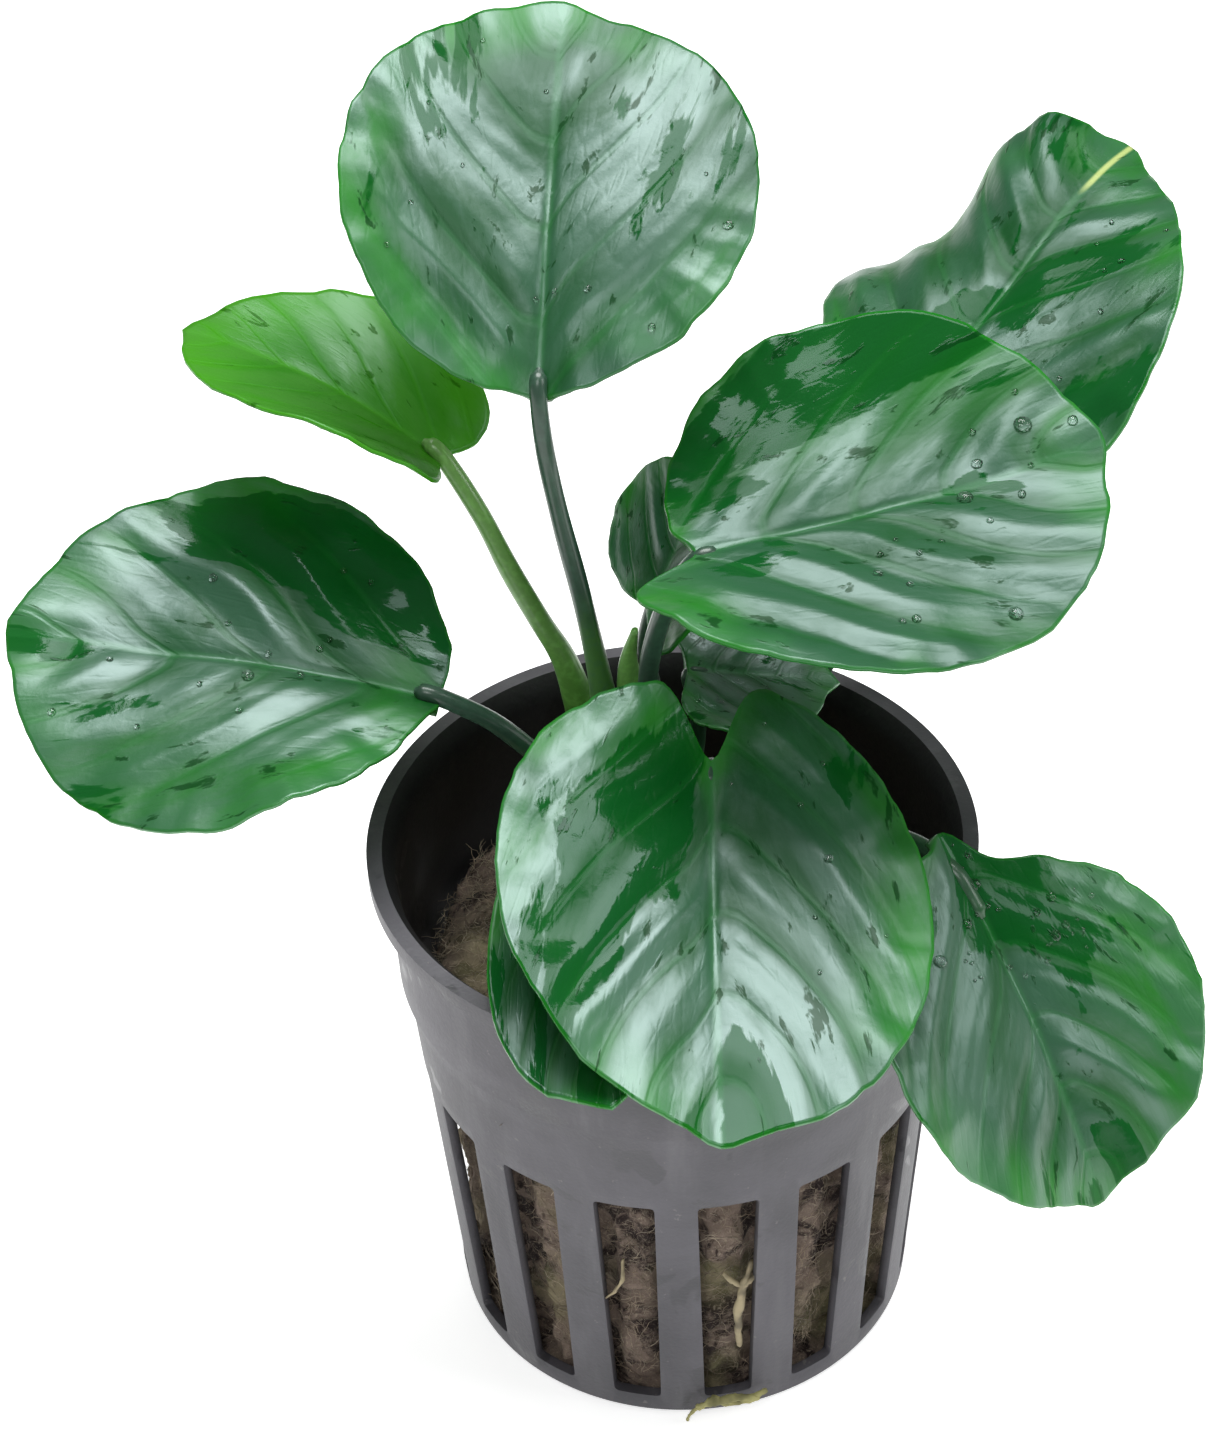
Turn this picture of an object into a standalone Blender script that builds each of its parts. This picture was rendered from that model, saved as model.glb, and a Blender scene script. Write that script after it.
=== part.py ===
"""Potted anubias: a small broad-leaved water plant grown in mineral wool in a slotted net pot.

Run with:  blender --background --python part.py
Lengths in the tables are millimetres and angles are degrees; the meshes are in metres, +Z up.
The pot stands on z = 0 with its centre line on the Z axis, and its front is towards -Y.
"""
import bpy
import bmesh
from math import cos, exp, pi, radians, sin
from mathutils import Matrix, Vector

MM = 0.001
GAP = 0.3            # clearance between pieces that touch on the real plant

# ---------------------------------------------------------------- driving dimensions: the pot
POT_HEIGHT = 54.6
RIM_RADIUS = 27.5
RIM_DEPTH = 1.6      # height of the lip's outer edge
BAND_TOP_RADIUS = 25.9
BAND_RADIUS = 25.5   # smooth band at its lower edge, where the wall steps in
BAND_HEIGHT = 13.7   # from the top of the rim down to the step
CONE_TOP_RADIUS = 25.0
CONE_BASE_RADIUS = 22.0
WALL = 1.2
FLOOR = 1.2
SLOT_COUNT = 16
SLOT_TOP = POT_HEIGHT - 23.3
SLOT_FOOT = POT_HEIGHT - 51.7
SLOT_WIDE = 5.5      # across the slot at its top
SLOT_NARROW = 4.4    # across the slot at its foot
SLOT_TURN = -1.6     # how far the slots are turned from the front
DRAIN_COUNT = 8      # slots in the floor
DRAIN_INNER = 9.0
DRAIN_OUTER = 17.0
DRAIN_WIDTH = 2.4
POT_STEPS = 48

# ---------------------------------------------------------------- driving dimensions: the wool
WOOL_TOP = 39.0      # mean height of its top
WOOL_RISE = 2.2      # height of the lumps
WOOL_SHOULDER = 2.5

# ---------------------------------------------------------------- driving dimensions: the plant
RHIZOME_FOOT = (3.0, 2.0, 40.5)
RHIZOME_CROWN = (-4.0, 10.5, 55.0)
RHIZOME_RADII = (3.3, 2.7)
BLADE_THICK = 0.6
BLADE_FOLD = 4       # slope of each half away from the midrib
TIP_LENGTH = 1.2
TIP_ANGLE = 7.5      # how wide the drawn-out tip is, round the outline
BLADE_RINGS = 4
BLADE_SECTORS = 24
STALK_POINTS = 9
ROOT_RADII = (0.7, 0.45)
ROOT_POINTS = 7
BUD_POINTS = 6
BED_GAP = 0.45       # room round the rhizome and the roots in the wool
TUBE_BEVEL = 2       # gives an eight-sided tube

# Each leaf: where its blade meets the stalk, the way the midrib runs, the blade's size and form,
# and the stalk's radius at each end and its route from the rhizome.
DARK = (0.02, 0.16, 0.03)
FRESH = (0.10, 0.42, 0.02)
LEAVES = {
    "top": dict(
        base=(-10.2, 10.0, 95.8), heading=84, pitch=43, roll=2, length=37.0, width=36.3,
        belly=0.50, taper=-0.04, lobes=(0.6, -1.0), notch=20, skew=0.03, bend=-23, cups=(9, -2),
        waves=((0.024, -25), (0.013, 95)), radii=(1.0, 0.75), colour=DARK,
        route=[(-5.6, 10.9, 55.3), (-5.7, 10.4, 60.5), (-6.2, 10.2, 66.0), (-7.4, 10.0, 74.5),
               (-8.8, 9.9, 82.6), (-9.8, 9.8, 90.0)]),
    "young": dict(
        base=(-18.8, 18.9, 84.0), heading=153, pitch=26, roll=4, length=26.7, width=22.2,
        belly=0.42, taper=0.08, lobes=(3.5, 4.1), notch=21, skew=-0.05, bend=-26, cups=(28, 17),
        waves=((0.060, -165), (0.061, 60)), radii=(1.2, 0.8), colour=FRESH,
        route=[(-6.0, 13.1, 52.0), (-7.6, 13.5, 57.0), (-9.2, 13.4, 64.0), (-11.3, 13.8, 68.5),
               (-13.8, 15.2, 73.3), (-16.2, 16.9, 78.4)]),
    "left": dict(
        base=(-19.9, 3.3, 69.1), heading=170, pitch=10, roll=-16, length=39.0, width=37.2,
        belly=0.48, taper=-0.07, lobes=(-1.4, 1.1), notch=15, skew=-0.06, bend=-21, cups=(-1, 8),
        waves=((0.051, 140), (0.067, 80)), radii=(1.0, 0.8), colour=DARK,
        route=[(-6.4, 6.9, 51.9), (-9.4, 6.3, 56.2), (-12.5, 5.4, 60.4), (-15.9, 4.3, 64.9)]),
    "broad": dict(
        base=(2.7, 3.2, 83.5), heading=16, pitch=3, roll=12, length=36.5, width=38.9,
        belly=0.40, taper=-0.03, lobes=(1.7, 7.2), notch=7, skew=0.01, bend=-1, cups=(24, 8),
        waves=((0.103, 30), (0.017, 100)), radii=(1.0, 0.8), colour=DARK,
        route=[(0.1, 9.7, 55.8), (-0.9, 8.6, 60.5), (-1.7, 7.2, 65.0), (-1.2, 5.4, 71.5), (0.6, 3.9, 78.6)]),
    "curled": dict(
        base=(25.9, 26.8, 84.8), heading=51, pitch=30, roll=3, length=31.7, width=36.1,
        belly=0.35, taper=0.18, lobes=(7.5, 10.9), notch=16, skew=0.22, bend=-23, cups=(-1, 2),
        curl=(-90, 65, 48), waves=((0.048, -30), (0.085, -55)), radii=(1.1, 0.8), colour=DARK,
        route=[(2.4, 9.8, 49.9), (7.0, 13.2, 50.0), (11.0, 17.0, 53.0), (14.5, 19.7, 57.2),
               (20.0, 23.0, 64.0), (24.6, 25.8, 75.5)]),
    "front": dict(
        base=(3.6, -4.3, 66.5), heading=-91, pitch=-20, roll=-7, length=35.7, width=37.4,
        belly=0.42, taper=0.08, lobes=(7.9, 7.4), notch=9, skew=0.14, bend=4, cups=(5, 2),
        waves=((0.052, 95), (0.015, -5)), radii=(1.0, 0.8), colour=DARK,
        route=[(0.2, 3.3, 51.0), (2.6, 1.4, 54.5), (3.6, 0.4, 59.0), (3.9, -1.4, 63.0)]),
    "right": dict(
        base=(26.2, -10.9, 56.2), heading=-53, pitch=-43, roll=-1, length=29.8, width=32.8,
        belly=0.45, taper=0.12, lobes=(2.1, 6.1), notch=11, skew=0.10, bend=-22, cups=(11, 8),
        waves=((0.029, -15), (0.011, -115)), radii=(1.0, 0.75), colour=DARK,
        route=[(4.9, 5.3, 46.9), (9.5, 4.6, 49.5), (15.0, 0.5, 54.5), (21.0, -5.5, 57.6), (24.4, -9.0, 57.2)]),
    "tucked": dict(
        base=(-7.5, -6.8, 58.6), heading=-86, pitch=-14, roll=2, length=27.8, width=18.9,
        belly=0.44, taper=-0.08, lobes=(6.0, 5.8), notch=16, skew=-0.07, bend=16, cups=(6, 9),
        waves=((0.044, 20), (0.051, 45)), radii=(0.8, 0.6), colour=DARK,
        route=[(-3.6, 3.2, 46.9), (-5.4, 0.2, 50.5), (-6.9, -3.0, 54.3)]),
    "sprout": dict(
        base=(-1.9, 15.3, 68.6), heading=29, pitch=56, roll=-5, length=14.3, width=18.0,
        belly=0.47, taper=0.16, lobes=(1.5, 3.5), notch=19, skew=0.05, bend=16, cups=(7, 8),
        waves=((0.003, 145), (0.017, 70)), radii=(0.8, 0.6), colour=DARK,
        route=[(-1.0, 12.8, 52.9), (-1.2, 15.2, 58.5), (-1.9, 15.6, 64.0)]),
    "low": dict(
        base=(1.9, 10.3, 65.3), heading=3, pitch=-8, roll=6, length=13.0, width=17.4,
        belly=0.46, taper=0.14, lobes=(2.4, 1.8), notch=20, skew=0.03, bend=-8, cups=(6, 6),
        waves=((0.030, 140), (0.030, -25)), radii=(0.8, 0.6), colour=DARK,
        route=[(1.4, 9.9, 52.2), (2.6, 10.6, 56.5), (2.7, 10.4, 60.8)]),
}

# The sheath that wraps the next leaf, and the roots: share of the rhizome's length, heading, tip.
BUD_ROUTE = [(-3.1, 10.9, 56.5), (-3.3, 10.6, 62.0), (-3.4, 9.4, 67.0), (-2.7, 8.2, 71.5)]
BUD_RADII = (1.2, 0.5)
ROOTS = {
    "root_front": (0.10, -80, (5.0, -8.0, 37.5)),
    "root_left": (0.22, 190, (-8.5, -1.5, 37.0)),
    "root_right": (0.12, 10, (13.0, 1.0, 37.5)),
    "root_back": (0.30, 70, (6.0, 13.0, 37.5)),
    "root_low": (0.34, 165, (-10.0, 8.0, 37.0)),
}


# ---------------------------------------------------------------- helpers
def clear_scene():
    """Empty the file without closing it."""
    for old in list(bpy.data.objects):
        bpy.data.objects.remove(old, do_unlink=True)


def make_collection(name):
    """A collection linked to the scene."""
    collection = bpy.data.collections.new(name)
    bpy.context.scene.collection.children.link(collection)
    return collection


def make_material(name, colour, roughness):
    """One Principled material."""
    material = bpy.data.materials.new(name)
    material.use_nodes = True
    shader = material.node_tree.nodes["Principled BSDF"]
    shader.inputs["Base Color"].default_value = (*colour, 1.0)
    shader.inputs["Roughness"].default_value = roughness
    shader.inputs["Metallic"].default_value = 0.0
    return material


def add_piece(name, mesh, colour, roughness, collection, smooth=True):
    """Put a mesh in the scene as one named piece with its own material."""
    piece = bpy.data.objects.new(name, mesh)
    collection.objects.link(piece)
    mesh.materials.append(make_material(name + "_finish", colour, roughness))
    if smooth:
        mesh.shade_smooth()
        mesh.set_sharp_from_angle(angle=radians(40))
    return piece


def bm_to_mesh(bm, name):
    """Close a bmesh into a new mesh."""
    mesh = bpy.data.meshes.new(name)
    bm.to_mesh(mesh)
    bm.free()
    return mesh


def cut(piece, cutter):
    """Subtract one closed cutter from a piece."""
    cutter.display_type = "WIRE"
    cutter.hide_render = True
    boolean = piece.modifiers.new("cut_" + cutter.name, "BOOLEAN")
    boolean.operation = "DIFFERENCE"
    boolean.solver = "EXACT"
    boolean.object = cutter


def smooth_route(points, count):
    """Points spread along a smooth curve through the route's own points."""
    knots = [Vector(p) for p in points]
    knots = [2 * knots[0] - knots[1]] + knots + [2 * knots[-1] - knots[-2]]
    route = []
    for i in range(count):
        along = i / (count - 1) * (len(points) - 1)
        k = min(int(along), len(points) - 2)
        t = along - k
        a, b, c, d = knots[k:k + 4]
        step = b * 2 + (c - a) * t + (a * 2 - b * 5 + c * 4 - d) * t ** 2
        step += (b * 3 - a - c * 3 + d) * t ** 3
        route.append(step / 2)
    return route


def tube_mesh(name, points, radii, count):
    """A closed round tube along a route; its radius changes evenly from one end to the other."""
    curve = bpy.data.curves.new(name, "CURVE")
    curve.dimensions = "3D"
    curve.bevel_depth = MM
    curve.bevel_resolution = TUBE_BEVEL
    curve.use_fill_caps = True
    spline = curve.splines.new("POLY")
    spline.points.add(count - 1)
    for i, point in enumerate(smooth_route(points, count)):
        share = i / (count - 1)
        spline.points[i].co = (*(point * MM), 1.0)
        spline.points[i].radius = radii[0] + (radii[1] - radii[0]) * share
    guide = bpy.data.objects.new(name, curve)
    bpy.context.scene.collection.objects.link(guide)
    evaluated = guide.evaluated_get(bpy.context.evaluated_depsgraph_get())
    mesh = bpy.data.meshes.new_from_object(evaluated)
    bpy.data.objects.remove(guide, do_unlink=True)
    bm = bmesh.new()
    bm.from_mesh(mesh)
    bmesh.ops.remove_doubles(bm, verts=bm.verts, dist=0.00001)
    bmesh.ops.recalc_face_normals(bm, faces=bm.faces)
    bm.to_mesh(mesh)
    bm.free()
    mesh.name = name
    return mesh


# ---------------------------------------------------------------- the pot
def cone_radius(z):
    """Outer radius of the slotted wall at a height."""
    share = z / (POT_HEIGHT - BAND_HEIGHT)
    return CONE_BASE_RADIUS + (CONE_TOP_RADIUS - CONE_BASE_RADIUS) * share


def pot_profile():
    """The wall's section as (radius, height), down the outside and up the inside."""
    top = POT_HEIGHT
    step = POT_HEIGHT - BAND_HEIGHT
    return [
        (RIM_RADIUS - 2.4, top), (RIM_RADIUS - 0.3, top), (RIM_RADIUS, top - 0.3),
        (RIM_RADIUS, top - RIM_DEPTH), (BAND_TOP_RADIUS, top - RIM_DEPTH - 0.3),
        (BAND_RADIUS, step + 0.3), (CONE_TOP_RADIUS, step - 0.2),
        (cone_radius(1.0), 1.0), (cone_radius(0.0) - 0.6, 0.0), (0.0, 0.0),
        (0.0, FLOOR), (cone_radius(FLOOR) - WALL, FLOOR),
        (CONE_TOP_RADIUS - WALL, step - 0.4), (BAND_RADIUS - WALL, step + 0.4),
    ]


def turn_profile(name, profile, steps, collection, colour, roughness):
    """Revolve a closed section round the Z axis."""
    bm = bmesh.new()
    verts = [bm.verts.new((r * MM, 0.0, z * MM)) for r, z in profile]
    for i, vert in enumerate(verts):
        follower = verts[(i + 1) % len(verts)]
        if vert.co.x > 0 or follower.co.x > 0:
            bm.edges.new((vert, follower))
    piece = add_piece(name, bm_to_mesh(bm, name), colour, roughness, collection, smooth=False)
    screw = piece.modifiers.new("turn", "SCREW")
    screw.axis = "Z"
    screw.angle = 2 * pi
    screw.steps = steps
    screw.render_steps = steps
    screw.use_merge_vertices = True
    screw.merge_threshold = 0.00001
    screw.use_smooth_shade = True
    return piece


def slot_cutters(name, collection, count, turn, shape):
    """A ring of equal cutters in one mesh; shape places the first one, pointing along +X."""
    bm = bmesh.new()
    for i in range(count):
        block = bmesh.ops.create_cube(bm, size=1.0)["verts"]
        for vert in block:
            vert.co = shape(vert.co) * MM
        spin = Matrix.Rotation(radians(turn) + 2 * pi * i / count, 3, "Z")
        bmesh.ops.rotate(bm, verts=block, cent=(0, 0, 0), matrix=spin)
    cutter = bpy.data.objects.new(name, bm_to_mesh(bm, name))
    collection.objects.link(cutter)
    return cutter


def wall_slot(corner):
    """A tapering block through the wall, wider at its top."""
    width = SLOT_WIDE if corner.z > 0 else SLOT_NARROW
    height = SLOT_TOP if corner.z > 0 else SLOT_FOOT
    return Vector((23.5 + corner.x * 7.0, corner.y * width, height))


def drain_slot(corner):
    """A block through the floor."""
    middle = (DRAIN_INNER + DRAIN_OUTER) / 2
    return Vector((middle + corner.x * (DRAIN_OUTER - DRAIN_INNER), corner.y * DRAIN_WIDTH,
                   FLOOR / 2 + corner.z * 3.0))


def build_pot(parts, cutters):
    """The slotted net pot, moulded in one piece."""
    pot = turn_profile("net_pot", pot_profile(), POT_STEPS, parts, (0.02, 0.02, 0.022), 0.45)
    first = -90 + SLOT_TURN + 180 / SLOT_COUNT
    cut(pot, slot_cutters("wall_slots", cutters, SLOT_COUNT, first, wall_slot))
    cut(pot, slot_cutters("floor_slots", cutters, DRAIN_COUNT, first, drain_slot))
    return pot


# ---------------------------------------------------------------- the rhizome and its roots
def rhizome_at(share):
    """A point on the rhizome's centre line, its direction and its radius."""
    foot = Vector(RHIZOME_FOOT)
    crown = Vector(RHIZOME_CROWN)
    radius = RHIZOME_RADII[0] + (RHIZOME_RADII[1] - RHIZOME_RADII[0]) * share
    return foot.lerp(crown, share), (crown - foot).normalized(), radius


def side_start(share, heading, reach):
    """A point just off the rhizome's side, on the side that faces a heading."""
    centre, axis, radius = rhizome_at(share)
    out = Vector((cos(radians(heading)), sin(radians(heading)), 0.0))
    out = (out - axis * out.dot(axis)).normalized()
    return centre + out * (radius + reach)


def build_rhizome(parts):
    """The thick creeping stem that carries every leaf and root."""
    mesh = tube_mesh("rhizome", [RHIZOME_FOOT, RHIZOME_CROWN], RHIZOME_RADII, 6)
    return add_piece("rhizome", mesh, (0.10, 0.22, 0.06), 0.55, parts)


def root_route(share, heading, end):
    """A root leaves the rhizome's side and bends down into the wool."""
    start = side_start(share, heading, GAP + ROOT_RADII[0])
    out = Vector((cos(radians(heading)), sin(radians(heading)), 0.0))
    end = Vector(end)
    return [start, start + out * 2.2 + Vector((0, 0, -0.8)), start.lerp(end, 0.6) + out * 1.5, end]


def build_roots(parts):
    """The feeding roots, one piece each."""
    for name, spec in ROOTS.items():
        mesh = tube_mesh(name, root_route(*spec), ROOT_RADII, ROOT_POINTS)
        add_piece(name, mesh, (0.35, 0.30, 0.16), 0.7, parts)


# ---------------------------------------------------------------- the mineral wool
def wool_height(x, y):
    """Height of the wool's lumpy top above its mean, in millimetres."""
    lumps = sin(0.31 * x + 0.8) * cos(0.27 * y - 0.4) + 0.5 * sin(0.62 * x - 0.45 * y + 1.7)
    return WOOL_RISE * lumps / 1.5


def build_wool(parts, cutters):
    """The plug of mineral wool that fills the pot, with room for the rhizome and the roots."""
    foot = FLOOR + GAP
    inner = cone_radius(WOOL_TOP - WOOL_RISE - WOOL_SHOULDER) - WALL - GAP
    bm = bmesh.new()
    disc = bmesh.ops.create_circle(bm, cap_ends=True, segments=40, radius=1.0)["verts"]
    top = list(bm.faces)[0]
    rings = [disc]
    for _ in range(4):
        bmesh.ops.inset_region(bm, faces=[top], thickness=0.17, use_even_offset=True)
        rings.append(list(top.verts))
    bmesh.ops.poke(bm, faces=[top])
    for vert in bm.verts:
        reach = vert.co.length
        edge = max(0.0, (reach - 0.8) / 0.2)
        x = vert.co.x * inner
        y = vert.co.y * inner
        z = WOOL_TOP + wool_height(x, y) * (1 - 0.6 * edge) - WOOL_SHOULDER * edge ** 2
        vert.co = Vector((x, y, z)) * MM
    rim = [edge for edge in bm.edges if edge.is_boundary]
    wall = bmesh.ops.extrude_edge_only(bm, edges=rim)["geom"]
    low = [item for item in wall if isinstance(item, bmesh.types.BMVert)]
    for vert in low:
        direction = Vector((vert.co.x, vert.co.y, 0)).normalized()
        vert.co = (direction * (cone_radius(foot) - WALL - GAP) + Vector((0, 0, foot))) * MM
    floor_edges = [edge for edge in bm.edges if edge.is_boundary]
    bmesh.ops.contextual_create(bm, geom=floor_edges)
    bmesh.ops.recalc_face_normals(bm, faces=bm.faces)
    wool = add_piece("mineral_wool", bm_to_mesh(bm, "mineral_wool"), (0.30, 0.22, 0.13), 0.95, parts)
    foot_point, axis, radius = rhizome_at(0)
    cut_bed(wool, "rhizome_bed", [foot_point - axis * BED_GAP, Vector(RHIZOME_CROWN)], radius, 6, cutters)
    for name, spec in ROOTS.items():
        route = root_route(*spec)
        route[-1] = route[-1] + (route[-1] - route[-2]).normalized() * BED_GAP
        cut_bed(wool, name + "_bed", route, ROOT_RADII[0], ROOT_POINTS, cutters)
    return wool


def cut_bed(wool, name, route, radius, count, cutters):
    """Leave room in the wool for a piece that lies along a route."""
    size = radius + BED_GAP
    bed = bpy.data.objects.new(name, tube_mesh(name, route, (size, size), count))
    cutters.objects.link(bed)
    cut(wool, bed)


# ---------------------------------------------------------------- the leaves
def blade_point(leaf, rho, turn):
    """A point on a blade's upper side.

    rho runs from 0 at the blade's middle to 1 on its margin. turn runs round the outline:
    0 at the tip, plus and minus pi at the notch where the stalk joins.
    """
    half = leaf["width"] / 2
    left = sin(turn) >= 0
    lobe = leaf["lobes"][0 if left else 1]
    belly = leaf["belly"] * leaf["length"]
    reach = leaf["length"] - belly if cos(turn) >= 0 else belly + lobe
    notch = exp(-((pi - abs(turn)) / radians(leaf["notch"])) ** 2)
    across = half * sin(turn) * (1 - leaf["taper"] * cos(turn))
    along = belly + reach * cos(turn) + lobe * notch
    along += TIP_LENGTH * exp(-(turn / radians(TIP_ANGLE)) ** 2) + leaf["skew"] * across * (1 - notch)
    along = belly + (along - belly) * rho
    across *= rho
    # each half is an arc that starts at the fold's slope
    cup = radians(leaf["cups"][0 if left else 1])
    if "curl" in leaf:
        amount, place, spread = leaf["curl"]
        cup += radians(amount) * exp(-((turn - radians(place)) / radians(spread)) ** 2)
    bow = cup / half if abs(cup) > 0.001 else 0.001 / half
    fold = radians(BLADE_FOLD)
    out = (sin(fold + bow * abs(across)) - sin(fold)) / bow
    lift = (cos(fold) - cos(fold + bow * abs(across))) / bow
    for number, (size, phase) in zip((2, 3), leaf["waves"]):
        lift += half * rho ** 2 * size * sin(number * turn + radians(phase))
    out = out if across >= 0 else -out
    # the midrib is an arc too
    bend = radians(leaf["bend"])
    bend = bend if abs(bend) > 0.001 else 0.001
    lean = bend * along / leaf["length"]
    run = leaf["length"] / bend * sin(lean) - lift * sin(lean)
    rise = leaf["length"] / bend * (1 - cos(lean)) + lift * cos(lean)
    ahead, side, up = blade_axes(leaf)
    return Vector(leaf["base"]) + ahead * run + side * out + up * rise


def blade_axes(leaf):
    """The blade's own directions: along the midrib, to its left, and off its upper side."""
    heading = radians(leaf["heading"])
    pitch = radians(leaf["pitch"])
    roll = radians(leaf["roll"])
    ahead = Vector((cos(pitch) * cos(heading), cos(pitch) * sin(heading), sin(pitch)))
    level = Vector((-sin(heading), cos(heading), 0.0))
    side = level * cos(roll) + ahead.cross(level) * sin(roll)
    return ahead, side, ahead.cross(side)


def build_blade(name, leaf, parts):
    """A thin leaf blade: a spun disc moved onto the blade's surface, then given its thickness."""
    bm = bmesh.new()
    spoke = [bm.verts.new((i / BLADE_RINGS, 0, 0)) for i in range(BLADE_RINGS + 1)]
    edges = [bm.edges.new(pair) for pair in zip(spoke, spoke[1:])]
    bmesh.ops.spin(bm, geom=spoke + edges, cent=(0, 0, 0), axis=(0, 0, 1), angle=2 * pi,
                   steps=BLADE_SECTORS, use_merge=True)
    bmesh.ops.remove_doubles(bm, verts=bm.verts, dist=0.001)
    bmesh.ops.recalc_face_normals(bm, faces=bm.faces)
    if sum(face.normal.z for face in bm.faces) < 0:
        bmesh.ops.reverse_faces(bm, faces=bm.faces)
    for vert in bm.verts:
        turn = Vector((vert.co.x, vert.co.y)).angle_signed(Vector((1, 0)), 0.0)
        vert.co = blade_point(leaf, vert.co.length, turn) * MM
    blade = add_piece(name, bm_to_mesh(bm, name), leaf["colour"], 0.25, parts)
    solidify = blade.modifiers.new("thickness", "SOLIDIFY")
    solidify.thickness = BLADE_THICK * MM
    solidify.offset = -1.0
    solidify.use_even_offset = True
    return blade


def stalk_route(leaf):
    """The leaf's own route from the rhizome, ending just under the blade."""
    ahead, _, up = blade_axes(leaf)
    under = Vector(leaf["base"]) - up * (BLADE_THICK + GAP + leaf["radii"][1]) - ahead * 0.4
    return leaf["route"] + [under]


def build_leaf(name, leaf, parts):
    """One blade and the stalk that carries it."""
    build_blade(name + "_blade", leaf, parts)
    mesh = tube_mesh(name + "_stalk", stalk_route(leaf), leaf["radii"], STALK_POINTS)
    add_piece(name + "_stalk", mesh, leaf["colour"], 0.4, parts)


def build_bud(parts):
    """The sheath round the next leaf, at the growing tip."""
    mesh = tube_mesh("bud_sheath", BUD_ROUTE, BUD_RADII, BUD_POINTS)
    add_piece("bud_sheath", mesh, FRESH, 0.4, parts)


def main():
    clear_scene()
    parts = make_collection("potted_anubias")
    cutters = make_collection("cutters")
    build_pot(parts, cutters)
    build_wool(parts, cutters)
    build_rhizome(parts)
    build_roots(parts)
    for name, leaf in LEAVES.items():
        build_leaf(name, leaf, parts)
    build_bud(parts)


main()
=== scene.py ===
# %% [markdown]
# # A potted anubias, finished around its fixed frame
# The plant is a small round-leaved anubias in a black net pot packed with mineral wool. The frame
# holds every piece at its real place. This lesson gives each of them its shape and its finish.
# Lengths in the tables are millimetres and angles are degrees; every mesh is in metres.

# %% Load the frame
import bpy
import bmesh
import random
import numpy as np
from math import asin, cos, degrees, pi, radians, sin, sqrt
from mathutils import Matrix, Quaternion, Vector, noise


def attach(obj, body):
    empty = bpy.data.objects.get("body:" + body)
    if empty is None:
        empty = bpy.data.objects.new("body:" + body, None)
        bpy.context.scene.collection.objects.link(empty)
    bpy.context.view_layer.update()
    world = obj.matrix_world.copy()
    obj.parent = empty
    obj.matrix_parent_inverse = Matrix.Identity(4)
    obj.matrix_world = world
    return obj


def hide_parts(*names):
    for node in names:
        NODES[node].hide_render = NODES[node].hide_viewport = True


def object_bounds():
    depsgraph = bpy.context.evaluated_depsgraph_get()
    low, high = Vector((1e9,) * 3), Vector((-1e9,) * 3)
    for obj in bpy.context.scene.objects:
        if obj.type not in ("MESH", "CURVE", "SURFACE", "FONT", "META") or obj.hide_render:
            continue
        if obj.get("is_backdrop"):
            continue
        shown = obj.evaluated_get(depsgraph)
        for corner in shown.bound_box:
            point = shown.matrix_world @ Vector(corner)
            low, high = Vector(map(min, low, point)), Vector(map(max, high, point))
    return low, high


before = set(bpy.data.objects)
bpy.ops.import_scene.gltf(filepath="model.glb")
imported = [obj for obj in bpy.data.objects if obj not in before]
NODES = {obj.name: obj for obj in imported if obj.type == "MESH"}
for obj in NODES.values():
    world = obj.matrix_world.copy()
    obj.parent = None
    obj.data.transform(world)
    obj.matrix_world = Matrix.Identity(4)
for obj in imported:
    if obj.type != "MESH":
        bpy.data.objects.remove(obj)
CAD_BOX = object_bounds()
MM = 0.001
print("frame:", len(NODES), "nodes")

# %% [markdown]
# The camera looks down on the pot from the front at about forty degrees, from close by, so the
# tall leaves look large. Turning it by a fraction of a degree about its own axis levels the rim.

# %% Camera
camera = bpy.data.objects.new("camera", bpy.data.cameras.new("camera"))
camera.location = (0.0, -0.2361, 0.2635)
camera.rotation_euler = (radians(50.36), radians(2.05), radians(-0.37))
camera.data.lens = 87.56
camera.data.sensor_width = 36.0
bpy.context.scene.collection.objects.link(camera)
bpy.context.scene.camera = camera
bpy.context.scene.view_settings.view_transform = "Standard"

# %% [markdown]
# Wax on a leaf shows as a pale veil where it mirrors a lamp, and as deep green where it mirrors
# a dim room. So the room is dim, and one large soft lamp hangs over the back of the plant, with two
# weaker ones at the front and the right. The floor glows a little of its own, to stay near white.

# %% Floor and light
def soft_lamp(name, place, target, size, radiance):
    """A flat square lamp of a stated brightness, facing a target."""
    data = bpy.data.lights.new(name, "AREA")
    data.shape = "RECTANGLE"
    data.size, data.size_y = size
    data.energy = radiance * pi * size[0] * size[1]
    lamp = bpy.data.objects.new(name, data)
    lamp.location = place
    lamp.rotation_euler = (Vector(target) - Vector(place)).to_track_quat("-Z", "Y").to_euler()
    bpy.context.scene.collection.objects.link(lamp)


soft_lamp("overhead_lamp", (0.05, 0.24, 0.95), (0, 0, 0.06), (0.70, 0.52), 10.0)
soft_lamp("front_lamp", (-0.12, -0.66, 0.92), (0, 0, 0.06), (0.45, 0.38), 5.0)
soft_lamp("right_lamp", (0.85, -0.15, 0.6), (0, 0, 0.06), (0.4, 0.5), 4.0)
world = bpy.data.worlds.new("room")
world.use_nodes = True
backdrop = world.node_tree.nodes["Background"].inputs
backdrop["Color"].default_value = (1, 1, 1, 1)
backdrop["Strength"].default_value = 0.24
bpy.context.scene.world = world

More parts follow.
